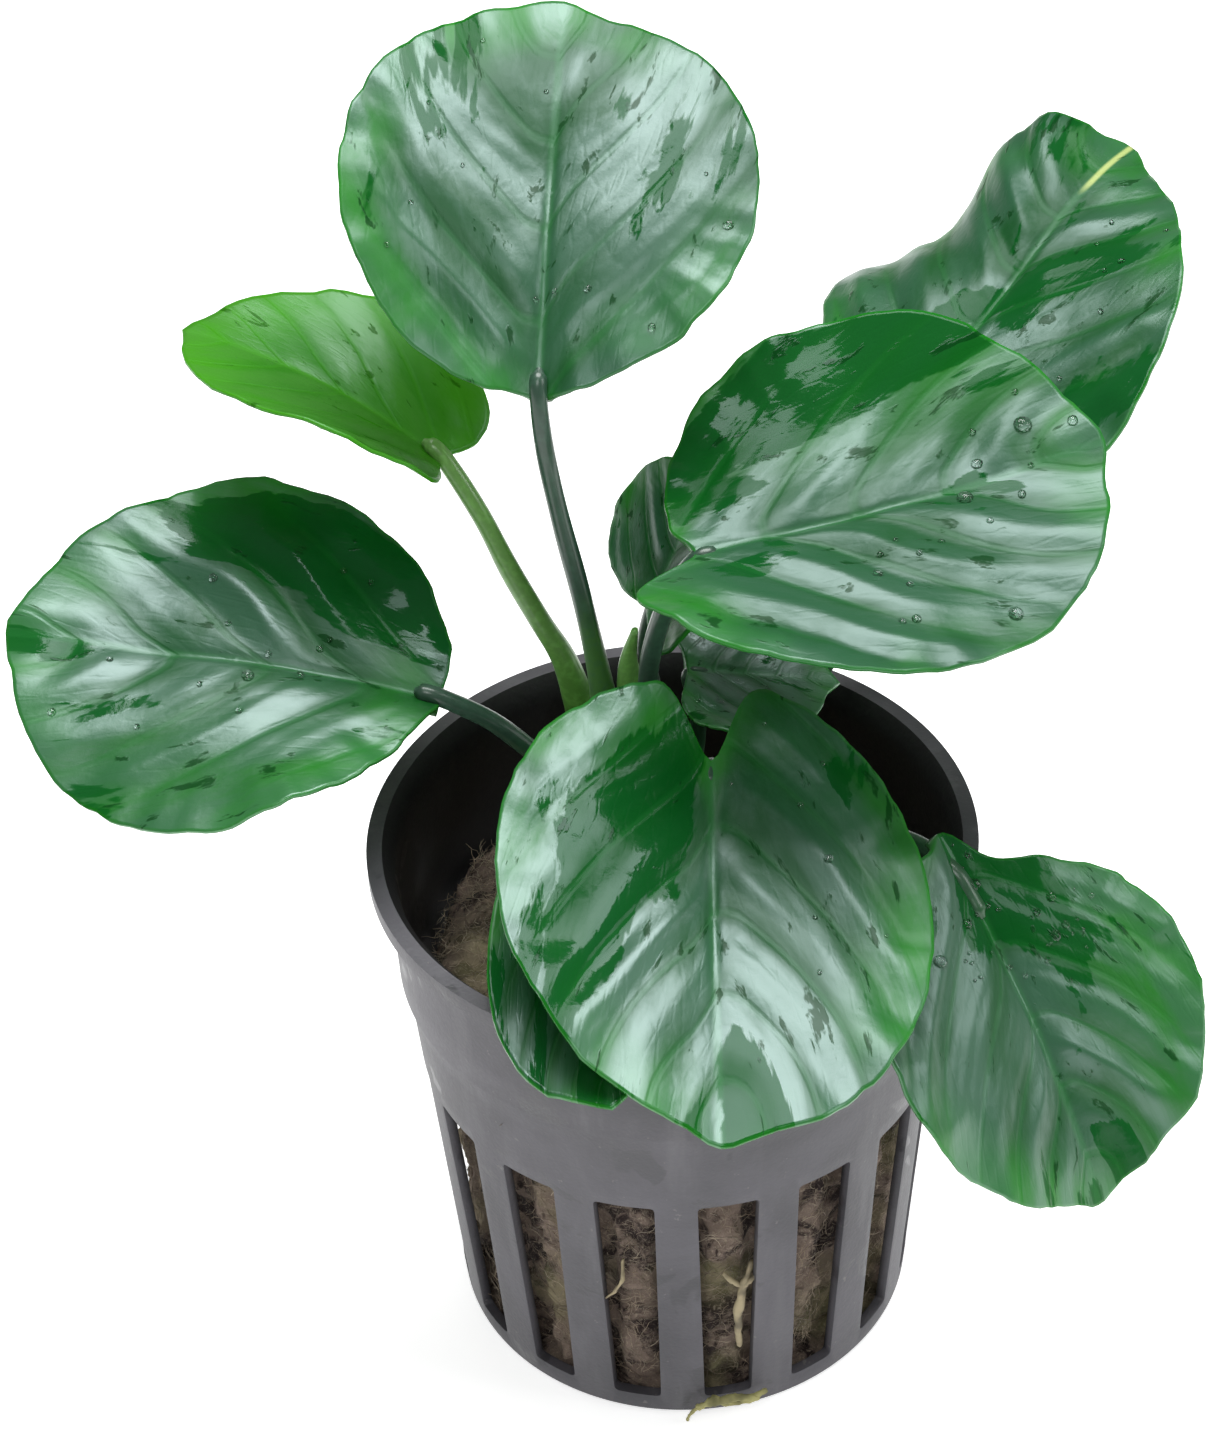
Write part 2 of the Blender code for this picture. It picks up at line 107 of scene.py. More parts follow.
floor_bm = bmesh.new()
bmesh.ops.create_grid(floor_bm, x_segments=1, y_segments=1, size=3.0)
floor_mesh = bpy.data.meshes.new("floor")
floor_bm.to_mesh(floor_mesh)
floor_bm.free()
floor = bpy.data.objects.new("floor", floor_mesh)
bpy.context.scene.collection.objects.link(floor)
floor_finish = bpy.data.materials.new("floor_finish")
floor_finish.use_nodes = True
floor_skin = floor_finish.node_tree.nodes["Principled BSDF"].inputs
floor_skin["Base Color"].default_value = (0.9, 0.9, 0.9, 1)
floor_skin["Roughness"].default_value = 0.9
floor_skin["Emission Color"].default_value = (1, 1, 1, 1)
floor_skin["Emission Strength"].default_value = 0.62
floor.data.materials.append(floor_finish)
floor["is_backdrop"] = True


# %% [markdown]
# Node trees are easier to read when one helper adds a node and sets its sockets in one line.
# A second helper turns a finished bmesh into a piece that rides on the frame's only body.

# %% Helpers for nodes and pieces
def wire(made, links):
    """Link each named socket of a node to another node's output, or set its value."""
    for key, value in links.items():
        if isinstance(value, bpy.types.NodeSocket):
            made.id_data.links.new(value, made.inputs[key])
        else:
            made.inputs[key].default_value = value
    return made


def node(tree, kind, links=None, **settings):
    """Add a node, set its properties from the settings, and wire its sockets."""
    made = tree.nodes.new(kind)
    for key, value in settings.items():
        setattr(made, key, value)
    return wire(made, links or {})


def math(tree, operation, a, b=0.0, c=0.0):
    return node(tree, "ShaderNodeMath", {0: a, 1: b, 2: c}, operation=operation).outputs[0]


def times(tree, a, b):
    return math(tree, "MULTIPLY", a, b)


def scaled(tree, value, by, plus):
    """A value times one number, plus another."""
    return math(tree, "MULTIPLY_ADD", value, by, plus)


def blend(tree, share, a, b):
    """Mix two colours."""
    mix = node(tree, "ShaderNodeMix", {0: share, 6: a, 7: b}, data_type="RGBA", clamp_factor=True)
    return mix.outputs[2]


def steps(tree, value, low, high, to_low=0.0, to_high=1.0):
    """A smooth ramp from one value to another."""
    return node(tree, "ShaderNodeMapRange", {0: value, 1: low, 2: high, 3: to_low, 4: to_high},
                interpolation_type="SMOOTHSTEP").outputs[0]


def speckle(tree, place, scale, detail=4.0, rough=0.55, warp=0.0):
    """Fractal noise of the given scale per metre."""
    return node(tree, "ShaderNodeTexNoise", {"Vector": place, "Scale": scale, "Detail": detail,
                "Roughness": rough, "Distortion": warp}).outputs["Fac"]


def new_finish(name):
    """A material with its tree and its Principled shader."""
    finish = bpy.data.materials.new(name)
    finish.use_nodes = True
    return finish, finish.node_tree, finish.node_tree.nodes["Principled BSDF"]


def shade(colour, by=1.0):
    """A colour made lighter or darker, as a socket takes it."""
    return (*[by * part for part in colour], 1.0)


def object_place(tree):
    return node(tree, "ShaderNodeTexCoord").outputs["Object"]


def bumped(tree, height, distance, strength):
    """The surface's direction, tilted by a fine relief of that many metres."""
    links = {"Height": height, "Distance": distance, "Strength": strength}
    return node(tree, "ShaderNodeBump", links).outputs[0]


def add_piece(name, bm, finish, stands_for=(), smooth_angle=None):
    """Make a finished bmesh a piece on the frame's body."""
    mesh = bpy.data.meshes.new(name)
    bm.to_mesh(mesh)
    bm.free()
    mesh.materials.append(finish)
    mesh.shade_smooth()
    if smooth_angle:
        mesh.set_sharp_from_angle(angle=radians(smooth_angle))
    piece = bpy.data.objects.new(name, mesh)
    bpy.context.scene.collection.objects.link(piece)
    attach(piece, "root")
    if stands_for:
        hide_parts(*stands_for)
    print(name, len(mesh.vertices), "vertices")
    return piece


def ramp_up(x, low, high):
    """Smoothstep for numbers and arrays."""
    t = np.clip((x - low) / (high - low), 0.0, 1.0)
    return t * t * (3 - 2 * t)


# %% [markdown]
# Each leaf is one entry of dimensions: where its blade meets the stalk, which way the midrib runs,
# how long and wide it is, how it cups, bends and waves, and the route its stalk takes from the
# rhizome. The frame's leaves have nearly the same entries, so a finished leaf lands on its frame
# leaf. Only here is the front leaf's notch narrower, and only here has the right leaf a small ear.

# %% The leaves' dimensions
BLADE_FOLD = 4                 # slope of each half away from the midrib
TIP_LENGTH = 1.2
TIP_ANGLE = 7.5                # how wide the drawn-out tip is, round the outline
LEAVES = {
    "top": dict(
        base=(-10.2, 10.0, 95.8), heading=84, pitch=43, roll=2, length=37.0, width=36.3,
        belly=0.50, taper=-0.04, lobes=(0.6, -1.0), notch=20, skew=0.03, bend=-23, cups=(9, -2),
        waves=((0.024, -25), (0.013, 95)), radii=(1.0, 0.75),
        route=[(-5.6, 10.9, 55.3), (-5.7, 10.4, 60.5), (-6.2, 10.2, 66.0), (-7.4, 10.0, 74.5),
               (-8.8, 9.9, 82.6), (-9.8, 9.8, 90.0)]),
    "young": dict(
        base=(-18.8, 18.9, 84.0), heading=153, pitch=26, roll=4, length=26.7, width=22.2,
        belly=0.42, taper=0.08, lobes=(3.5, 4.1), notch=21, skew=-0.05, bend=-26, cups=(28, 17),
        waves=((0.060, -165), (0.061, 60)), radii=(1.2, 0.8),
        route=[(-6.0, 13.1, 52.0), (-7.6, 13.5, 57.0), (-9.2, 13.4, 64.0), (-11.3, 13.8, 68.5),
               (-13.8, 15.2, 73.3), (-16.2, 16.9, 78.4)]),
    "left": dict(
        base=(-19.9, 3.3, 69.1), heading=170, pitch=10, roll=-16, length=39.0, width=37.2,
        belly=0.48, taper=-0.07, lobes=(-1.4, 1.1), notch=15, skew=-0.06, bend=-21, cups=(-1, 8),
        waves=((0.051, 140), (0.067, 80)), radii=(1.0, 0.8),
        route=[(-6.4, 6.9, 51.9), (-9.4, 6.3, 56.2), (-12.5, 5.4, 60.4), (-15.9, 4.3, 64.9)]),
    "broad": dict(
        base=(2.7, 3.2, 83.5), heading=16, pitch=3, roll=12, length=36.5, width=38.9,
        belly=0.40, taper=-0.03, lobes=(1.7, 7.2), notch=7, skew=0.01, bend=-1, cups=(24, 8),
        waves=((0.103, 30), (0.017, 100)), radii=(1.0, 0.8),
        route=[(0.1, 9.7, 55.8), (-0.9, 8.6, 60.5), (-1.7, 7.2, 65.0), (-1.2, 5.4, 71.5),
               (0.6, 3.9, 78.6)]),
    "curled": dict(
        base=(25.9, 26.8, 84.8), heading=51, pitch=30, roll=3, length=31.7, width=36.1,
        belly=0.35, taper=0.18, lobes=(7.5, 10.9), notch=16, skew=0.22, bend=-23, cups=(-1, 2),
        curl=(-90, 65, 48), waves=((0.048, -30), (0.085, -55)), radii=(1.1, 0.8),
        route=[(2.4, 9.8, 49.9), (7.0, 13.2, 50.0), (11.0, 17.0, 53.0), (14.5, 19.7, 57.2),
               (20.0, 23.0, 64.0), (24.6, 25.8, 75.5)]),
    "front": dict(
        base=(3.6, -4.3, 66.5), heading=-91, pitch=-20, roll=-7, length=35.7, width=37.4,
        belly=0.42, taper=0.08, lobes=(7.9, 7.4), notch=6.5, skew=0.14, bend=4, cups=(5, 2),
        waves=((0.052, 95), (0.015, -5)), radii=(1.0, 0.8),
        route=[(0.2, 3.3, 51.0), (2.6, 1.4, 54.5), (3.6, 0.4, 59.0), (3.9, -1.4, 63.0)]),
    "right": dict(
        base=(26.2, -10.9, 56.2), heading=-53, pitch=-43, roll=-1, length=29.8, width=32.8,
        belly=0.45, taper=0.12, lobes=(2.1, 6.1), notch=11, skew=0.10, bend=-22, cups=(11, 8),
        ear=(6.0, 180, 8.5),
        waves=((0.029, -15), (0.011, -115)), radii=(1.0, 0.75),
        route=[(4.9, 5.3, 46.9), (9.5, 4.6, 49.5), (15.0, 0.5, 54.5), (21.0, -5.5, 57.6),
               (24.4, -9.0, 57.2)]),
    "tucked": dict(
        base=(-7.5, -6.8, 58.6), heading=-86, pitch=-14, roll=2, length=27.8, width=18.9,
        belly=0.44, taper=-0.08, lobes=(6.0, 5.8), notch=16, skew=-0.07, bend=16, cups=(6, 9),
        waves=((0.044, 20), (0.051, 45)), radii=(0.8, 0.6),
        route=[(-3.6, 3.2, 46.9), (-5.4, 0.2, 50.5), (-6.9, -3.0, 54.3)]),
    "sprout": dict(
        base=(-1.9, 15.3, 68.6), heading=29, pitch=56, roll=-5, length=14.3, width=18.0,
        belly=0.47, taper=0.16, lobes=(1.5, 3.5), notch=19, skew=0.05, bend=16, cups=(7, 8),
        waves=((0.003, 145), (0.017, 70)), radii=(0.8, 0.6),
        route=[(-1.0, 12.8, 52.9), (-1.2, 15.2, 58.5), (-1.9, 15.6, 64.0)]),
    "low": dict(
        base=(1.9, 10.3, 65.3), heading=3, pitch=-8, roll=6, length=13.0, width=17.4,
        belly=0.46, taper=0.14, lobes=(2.4, 1.8), notch=20, skew=0.03, bend=-8, cups=(6, 6),
        waves=((0.030, 140), (0.030, -25)), radii=(0.8, 0.6),
        route=[(1.4, 9.9, 52.2), (2.6, 10.6, 56.5), (2.7, 10.4, 60.8)]),
}
for name, arch in (("top", 0.72), ("left", 0.72), ("curled", 0.70), ("young", 0.75)):
    LEAVES[name]["arch"] = arch
SEEDS = {name: 7.3 * (number + 1) for number, name in enumerate(LEAVES)}
print("widest blade:", max(leaf["width"] for leaf in LEAVES.values()), "mm")

# %% [markdown]
# An anubias blade is tough and a little quilted: the midrib and four or five pairs of side veins
# are sunk into the upper side, and the flesh swells between them. The side veins leave the midrib
# and sweep forward, so one number can tell which vein a place belongs to. That number drives
# both the swelling here and the colour later. The margin is thin, wavy and slightly scalloped.

# %% The blade's surface
VEINS = 4.4
VEIN_SLANT = 0.52              # how fast a side vein runs forward where it leaves the midrib
ARCH = 0.92                    # how soon it turns to run towards the tip
SWELL = 0.55                   # height of the flesh between two veins
MIDRIB_DEPTH = 0.25
VALLEY_DEPTH = 0.40            # the broad valley that the midrib lies in
STAGGER = 0.42                 # how far the left side's veins are set off from the right side's
ROLLING = 0.6                  # height of the slow swells of the whole blade
MARGIN_WAVE, MARGIN_RIPPLE = 0.9, 0.34
FULL_WIDTH = 34                # a narrower blade has shallower relief


def noise_at(places):
    return np.array([noise.noise(Vector(place)) for place in places])


def vein_number(leaf, along, across):
    """Which side vein a place lies on, counted from the base, and how far out it is."""
    out = across / (leaf["width"] / 2)
    to_tip = np.maximum(1 - along / leaf["length"], 0.0)
    slanted = to_tip + VEIN_SLANT * np.abs(out)
    nested = (slanted ** 4 + (leaf.get("arch", ARCH) * np.abs(out)) ** 4) ** 0.25
    stagger = STAGGER * ramp_up(across, -2.5, 2.5)
    return VEINS * (1 - nested) + stagger, out


def blade_axes(leaf):
    heading, pitch, roll = (radians(leaf[key]) for key in ("heading", "pitch", "roll"))
    ahead = Vector((cos(pitch) * cos(heading), cos(pitch) * sin(heading), sin(pitch)))
    level = Vector((-sin(heading), cos(heading), 0.0))
    side = level * cos(roll) + ahead.cross(level) * sin(roll)
    return ahead, side, ahead.cross(side)


def relief(leaf, seed, rho, turn, along, across):
    """Height of the veins, the swellings and the wavy margin above the smooth blade."""
    number, out = vein_number(leaf, along, across)
    slow = noise_at(np.stack([along / 11, across / 11, np.full_like(rho, seed)], -1))
    fine = noise_at(np.stack([along / 4, across / 4, np.full_like(rho, seed + 3)], -1))
    drift = noise_at(np.stack([number * 0.55, out * 1.1, np.full_like(rho, seed + 6)], -1))
    number = number + 0.30 * slow
    off_rib = 1 - np.exp(-(across / 1.6) ** 2)
    off_rim = 1 - 0.75 * ramp_up(rho, 0.8, 1.0)
    swell = np.sin(pi * number) ** 2 - 0.5
    minor = np.sin(3 * pi * number) ** 2 - 0.5
    strength = np.clip(0.50 + 1.9 * drift, 0.10, 1.5)
    height = (SWELL * swell * strength + 0.05 * minor) * off_rib * off_rim
    rib = MIDRIB_DEPTH * np.exp(-(across / 0.5) ** 2) + VALLEY_DEPTH * np.exp(-(across / 2.2) ** 2)
    height -= rib * (1 - ramp_up(along / leaf["length"], 0.3, 1.0))
    height += ROLLING * slow + 0.12 * fine
    edge = ramp_up(rho, 0.62, 1.0)
    ring = np.stack([3.2 * np.cos(turn), 3.2 * np.sin(turn), np.full_like(rho, seed + 9)], -1)
    height += edge * (MARGIN_WAVE * noise_at(ring) + MARGIN_RIPPLE * noise_at(ring * 2.7))
    return height * min(1.0, leaf["width"] / FULL_WIDTH)


def blade_surface(leaf, seed, rho, turn):
    """Places on a blade's upper side, with their distances along and across the blade."""
    half = leaf["width"] / 2
    left = np.sin(turn) >= 0
    lobe = np.where(left, *leaf["lobes"])
    belly = leaf["belly"] * leaf["length"]
    reach = np.where(np.cos(turn) >= 0, leaf["length"] - belly, belly + lobe)
    notch = np.exp(-((pi - np.abs(turn)) / radians(leaf["notch"])) ** 2)
    across = half * np.sin(turn) * (1 - leaf["taper"] * np.cos(turn))
    along = belly + reach * np.cos(turn) + lobe * notch
    along += TIP_LENGTH * np.exp(-(turn / radians(TIP_ANGLE)) ** 2) + leaf["skew"] * across * (1 - notch)
    if "ear" in leaf:
        reach, place, spread = leaf["ear"]
        along = along - reach * np.exp(-((np.degrees(np.abs(turn)) - place) / spread) ** 2)
    ring = np.stack([5 * np.cos(turn), 5 * np.sin(turn), np.full_like(rho, seed + 5)], -1)
    scallop = 0.016 * noise_at(ring) + 0.011 * noise_at(ring * 2.3)
    rho = rho * (1 + scallop * rho ** 4)
    along = belly + (along - belly) * rho
    across = across * rho
    cup = np.radians(np.where(left, *leaf["cups"]))
    if "curl" in leaf:
        amount, place, spread = leaf["curl"]
        cup = cup + radians(amount) * np.exp(-((np.degrees(turn) - place) / spread) ** 2)
    bow = np.where(np.abs(cup) > 0.001, cup, 0.001) / half
    fold = radians(BLADE_FOLD)
    out = (np.sin(fold + bow * np.abs(across)) - sin(fold)) / bow
    lift = (cos(fold) - np.cos(fold + bow * np.abs(across))) / bow
    for number, (size, phase) in zip((2, 3), leaf["waves"]):
        lift = lift + half * rho ** 2 * size * np.sin(number * turn + radians(phase))
    lift = lift + relief(leaf, seed, rho, turn, along, across)
    out = np.where(across >= 0, out, -out)
    bend = radians(leaf["bend"])
    lean = bend * along / leaf["length"]
    run = leaf["length"] / bend * np.sin(lean) - lift * np.sin(lean)
    rise = leaf["length"] / bend * (1 - np.cos(lean)) + lift * np.cos(lean)
    ahead, side, up = (np.array(axis) for axis in blade_axes(leaf))
    place = np.array(leaf["base"]) + np.outer(run, ahead) + np.outer(out, side) + np.outer(rise, up)
    return place, along, across


# %% [markdown]
# The blade itself is a flat disc of fine rings, spun from one spoke. Every point of it is moved
# onto the surface above. Then a live Solidify gives it flesh below: thick along the midrib, where
# the keel carries the blade, and thin at the margin.

# %% Grow the blades
RINGS = 54
SECTORS = 150
CROWD = 0.3                    # gathers the spokes near the notch, where the outline turns sharply
KEEL_THICK = 1.5
THINNEST = 0.24                # the margin's share of the keel's thickness
KEEL_REACH = 1.1               # how far the keel spreads to each side
FLESH = 0.22                   # the flesh's share, between the keel and the margin
SMALL_BLADE = 25               # a narrower blade needs half the rings and sectors


def spun(section, sectors, weld=0.00001):
    """Spin a row of points, each a radius and a height in metres, once round the Z axis."""
    bm = bmesh.new()
    row = [bm.verts.new((reach, 0, z)) for reach, z in section]
    edges = [bm.edges.new(pair) for pair in zip(row, row[1:])]
    bmesh.ops.spin(bm, geom=row + edges, cent=(0, 0, 0), axis=(0, 0, 1), angle=2 * pi,
                   steps=sectors, use_merge=True)
    bmesh.ops.remove_doubles(bm, verts=bm.verts, dist=weld)
    bmesh.ops.recalc_face_normals(bm, faces=bm.faces)
    return bm


def spun_disc(rings, sectors):
    """A flat disc one metre in radius, facing up."""
    bm = spun([(i / rings, 0) for i in range(rings + 1)], sectors, weld=0.0005)
    if sum(face.normal.z for face in bm.faces) < 0:
        bmesh.ops.reverse_faces(bm, faces=bm.faces)
    return bm


def grow_blade(name, finish, under):
    """One finished blade, with its vein numbers kept in a UV map for the finish."""
    leaf = LEAVES[name]
    small = leaf["width"] < SMALL_BLADE
    bm = spun_disc(RINGS // 2 if small else RINGS, SECTORS // 2 if small else SECTORS)
    flat = np.array([vert.co for vert in bm.verts])
    rho = np.hypot(flat[:, 0], flat[:, 1])
    turn = np.arctan2(flat[:, 1], flat[:, 0])
    turn = turn + CROWD * np.sin(turn)
    place, along, across = blade_surface(leaf, SEEDS[name], rho, turn)
    number, out = vein_number(leaf, along, across)
    keel = np.exp(-(across / KEEL_REACH) ** 2) * (1 - ramp_up(along / leaf["length"], 0.35, 1.0))
    flesh = FLESH * (1 - ramp_up(rho, 0.7, 1.0))
    thick = np.clip(flesh + keel * (1 - flesh), 0, 1)
    weights = bm.verts.layers.deform.verify()
    for vert, co, share in zip(bm.verts, place * MM, thick):
        vert.co = co
        vert[weights][0] = float(share)
    vein_map = bm.loops.layers.uv.new("veins")
    rim_map = bm.loops.layers.uv.new("rim")
    bm.verts.index_update()
    for face in bm.faces:
        for loop in face.loops:
            i = loop.vert.index
            loop[vein_map].uv = (number[i], out[i])
            loop[rim_map].uv = (rho[i], across[i] * MM)
    blade = add_piece(name + "_leaf", bm, finish, [name + "_blade"])
    blade.data.materials.append(under)
    blade.vertex_groups.new(name="flesh")
    solidify = blade.modifiers.new("flesh", "SOLIDIFY")
    solidify.thickness = KEEL_THICK * MM
    solidify.offset = -1.0
    solidify.vertex_group = "flesh"
    solidify.thickness_vertex_group = THINNEST
    solidify.material_offset = 1
    return blade


# %% [markdown]
# The leaf's skin is waxy. Dry wax scatters light into a pale veil, while a film of water left on
# it makes a smooth dark window with crisp edges. The films follow the veins, because the grooves
# hold the water. All leaf finishes share two groups of nodes: one draws the veins and one draws
# the patches of film, the clouds of lighter wax and the flecks. In the colour, the clouds also carry
# a painted sheen, a paler green standing in for the lamps' veil, and the flecks are painted shade.

# %% The shared leaf groups
def new_group(name, inputs, outputs):
    group = bpy.data.node_groups.new(name, "ShaderNodeTree")
    for label, kind in inputs:
        group.interface.new_socket(label, in_out="INPUT", socket_type=kind)
    for label, kind in outputs:
        group.interface.new_socket(label, in_out="OUTPUT", socket_type=kind)
    return group, group.nodes.new("NodeGroupInput").outputs, group.nodes.new("NodeGroupOutput")


def grouped(tree, group, **links):
    """Place a group in a tree, wire its inputs and give back its outputs."""
    return node(tree, "ShaderNodeGroup", links, node_tree=group).outputs


def combine(tree, x, y, z):
    return node(tree, "ShaderNodeCombineXYZ", {"X": x, "Y": y, "Z": z}).outputs[0]


def split(tree, vector):
    return node(tree, "ShaderNodeSeparateXYZ", {"Vector": vector}).outputs


FLOAT, VECTOR = "NodeSocketFloat", "NodeSocketVector"
vein_group, g_in, g_out = new_group(
    "vein_lines", [("Veins", VECTOR), ("Rim", VECTOR)],
    [("Rib", FLOAT), ("Side veins", FLOAT), ("Net", FLOAT)])
tree = vein_group
number, out, _ = split(tree, g_in["Veins"])
rim, across, _ = split(tree, g_in["Rim"])
rib_away = math(tree, "ABSOLUTE", across)
rib_line = steps(tree, rib_away, 0.0001, 0.0006, 1.0, 0.0)
nearest = math(tree, "ABSOLUTE", math(tree, "SUBTRACT", number, math(tree, "ROUND", number)))
fading = steps(tree, math(tree, "ABSOLUTE", out), 0.45, 0.95, 1.0, 0.0)
side_line = times(tree, steps(tree, nearest, 0.015, 0.085, 1.0, 0.0), fading)
cells = node(tree, "ShaderNodeTexVoronoi", {
    "Vector": combine(tree, times(tree, number, 3.0), times(tree, out, 14.0), 0.0),
    "Scale": 1.0}, feature="DISTANCE_TO_EDGE").outputs["Distance"]
wire(g_out, {"Rib": rib_line, "Side veins": side_line, "Net": steps(tree, cells, 0.0, 0.16, 1.0, 0.0)})

patch_group, g_in, g_out = new_group(
    "film_patches", [("Veins", VECTOR), ("Seed", FLOAT), ("Amount", FLOAT)],
    [("Film", FLOAT), ("Wax and sheen", FLOAT), ("Fleck and shade", FLOAT)])
tree = patch_group
number, out, _ = split(tree, g_in["Veins"])
along_veins = combine(tree, times(tree, number, 0.50), times(tree, out, 2.4), g_in["Seed"])
film = speckle(tree, along_veins, 1.0, 5.0, 0.58, 0.35)
edge = math(tree, "SUBTRACT", 1.0, g_in["Amount"])
# The wax clouds are partly real bloom and partly painted sheen: they make the wax rougher and glossier, and
# in the colour they paint a paler green for the lamps' veil.
cloud_place = combine(tree, times(tree, number, 0.6), times(tree, out, 1.5),
                      math(tree, "ADD", g_in["Seed"], 40.0))
crown = math(tree, "ABSOLUTE", math(tree, "SINE", times(tree, number, pi)))
cloud = scaled(tree, crown, 0.14, speckle(tree, cloud_place, 1.0, 6.0, 0.6, 0.6))
# The flecks are partly real and partly painted shade: they lose the wax's gloss and rise a little, and their
# colour is painted darker than the leaf's own green.
fleck_place = combine(tree, times(tree, number, 2.4), times(tree, out, 8.0), g_in["Seed"])
shade_flecks = speckle(tree, fleck_place, 1.0, 4.0, 0.6, 0.4)
wire(g_out, {"Film": steps(tree, film, edge, math(tree, "ADD", edge, 0.035)),
             "Wax and sheen": steps(tree, cloud, 0.42, 0.70), "Fleck and shade": steps(tree, shade_flecks, 0.62, 0.68)})
print("shared groups:", [group.name for group in bpy.data.node_groups])


# %% The leaf finishes
LAMP_TINT = (0.80, 0.97, 1.0, 1.0)      # the wax mirrors the lamps a little bluish
STREAK = (0.42, 0.50, 0.16)             # the yellow streak along a midrib's end


def leaf_finish(name, seed, deep, fresh, wax_and_sheen, amount=0.42, fresh_from=0.55, rough=0.41, pale_rib=0.35,
                painted_light_side=0.0, streak=0.0, shine=1.0, wet=()):
    """Deep green flesh, fresher towards the margin, under wax and films of water. Painted light: a paler
    sheen in the wax clouds, one half of the blade painted fresher as if lit, and flecks of painted shade.
    """
    finish, tree, skin = new_finish(name)
    veins = node(tree, "ShaderNodeUVMap", uv_map="veins").outputs[0]
    rims = node(tree, "ShaderNodeUVMap", uv_map="rim").outputs[0]
    rim = split(tree, rims)[0]
    lines = grouped(tree, vein_group, Veins=veins, Rim=rims)
    number, out, _ = split(tree, veins)
    for at_number, at_out, reach in wet:
        gone = math(tree, "POWER", math(tree, "SUBTRACT", number, at_number), 2.0)
        aside = math(tree, "POWER", times(tree, math(tree, "SUBTRACT", out, at_out), 3.0), 2.0)
        away = math(tree, "SQRT", math(tree, "ADD", gone, aside))
        amount = math(tree, "ADD", amount, steps(tree, away, 0.3 * reach, reach, 0.28, 0.0))
    patch = grouped(tree, patch_group, Veins=veins, Seed=seed, Amount=amount)
    place = object_place(tree)
    broad = speckle(tree, place, 55.0, 3.0, 0.5)
    grain = speckle(tree, place, 900.0, 3.0, 0.6)
    to_fresh = times(tree, steps(tree, rim, fresh_from, 1.0), steps(tree, broad, 0.38, 0.6))
    # Painted light: one half of the blade is painted fresher green, as if lit.
    painted_lit_half = times(tree, steps(tree, out, 0.05, 0.85), painted_light_side)
    colour = blend(tree, math(tree, "MAXIMUM", to_fresh, painted_lit_half), shade(deep), shade(fresh))
    # Painted sheen: the wax clouds lighten the colour towards a pale green.
    colour = blend(tree, times(tree, patch["Wax and sheen"], 0.5), colour, shade(wax_and_sheen))
    colour = blend(tree, times(tree, patch["Film"], 0.75), colour, shade(deep, 1.15))
    pale = tuple(0.5 * f + 0.5 * w for f, w in zip(fresh, wax_and_sheen))
    colour = blend(tree, times(tree, lines["Rib"], pale_rib), colour, shade(pale, 1.2))
    colour = blend(tree, times(tree, lines["Side veins"], 0.15), colour, shade(pale, 1.3))
    colour = blend(tree, steps(tree, rim, 0.98, 1.0, 0.0, 0.4), colour, shade(fresh, 1.5))
    if streak:
        near_rib = steps(tree, math(tree, "ABSOLUTE", split(tree, rims)[1]), 0.0001, 0.0004, streak, 0.0)
        near_tip = steps(tree, number, VEINS * 0.78, VEINS * 0.86)
        colour = blend(tree, times(tree, near_rib, near_tip), colour, shade(STREAK))
    # Painted shade: the flecks are darker than the deep green.
    colour = blend(tree, times(tree, patch["Fleck and shade"], 0.8), colour, shade(deep, 0.6))
    dry = scaled(tree, patch["Wax and sheen"], -0.12, rough + 0.06)
    gloss = scaled(tree, patch["Wax and sheen"], 0.55 * shine, 0.40 * shine)
    unveiled = math(tree, "MAXIMUM", patch["Film"], patch["Fleck and shade"])
    coat = scaled(tree, patch["Wax and sheen"], 0.15 * shine, 0.08 * shine)
    height = scaled(tree, lines["Net"], -0.10, times(tree, grain, 0.4))
    height = scaled(tree, lines["Side veins"], -0.5, height)
    height = scaled(tree, patch["Fleck and shade"], 0.3, height)
    height = scaled(tree, patch["Film"], 0.12, height)
    wire(skin, {
        "Base Color": colour, "IOR": 1.5, "Specular Tint": LAMP_TINT,
        "Roughness": scaled(tree, patch["Film"], -(rough - 0.16), dry),
        "Specular IOR Level": times(tree, gloss, scaled(tree, unveiled, -0.80, 1.0)),
        "Coat Weight": times(tree, coat, scaled(tree, patch["Film"], -0.85, 1.0)),
        "Coat Roughness": scaled(tree, patch["Film"], -0.25, 0.33),
        "Normal": bumped(tree, height, 0.00009, 0.8)})
    return finish


def under_finish(name, colour):
    """The blade's paler, duller underside."""
    finish, tree, skin = new_finish(name)
    place = object_place(tree)
    cloud = speckle(tree, place, 90.0, 4.0, 0.6)
    grain = speckle(tree, place, 700.0, 3.0, 0.6)
    wire(skin, {"Base Color": blend(tree, cloud, shade(colour, 0.75), shade(colour, 1.25)),
                "Roughness": 0.45, "Normal": bumped(tree, grain, 0.00006, 0.6)})
    return finish


# The third colour is the wax clouds' paler green: partly real bloom, partly painted sheen.
DEEP, RICH, WAX_AND_SHEEN = (0.002, 0.062, 0.008), (0.012, 0.175, 0.005), (0.020, 0.095, 0.048)
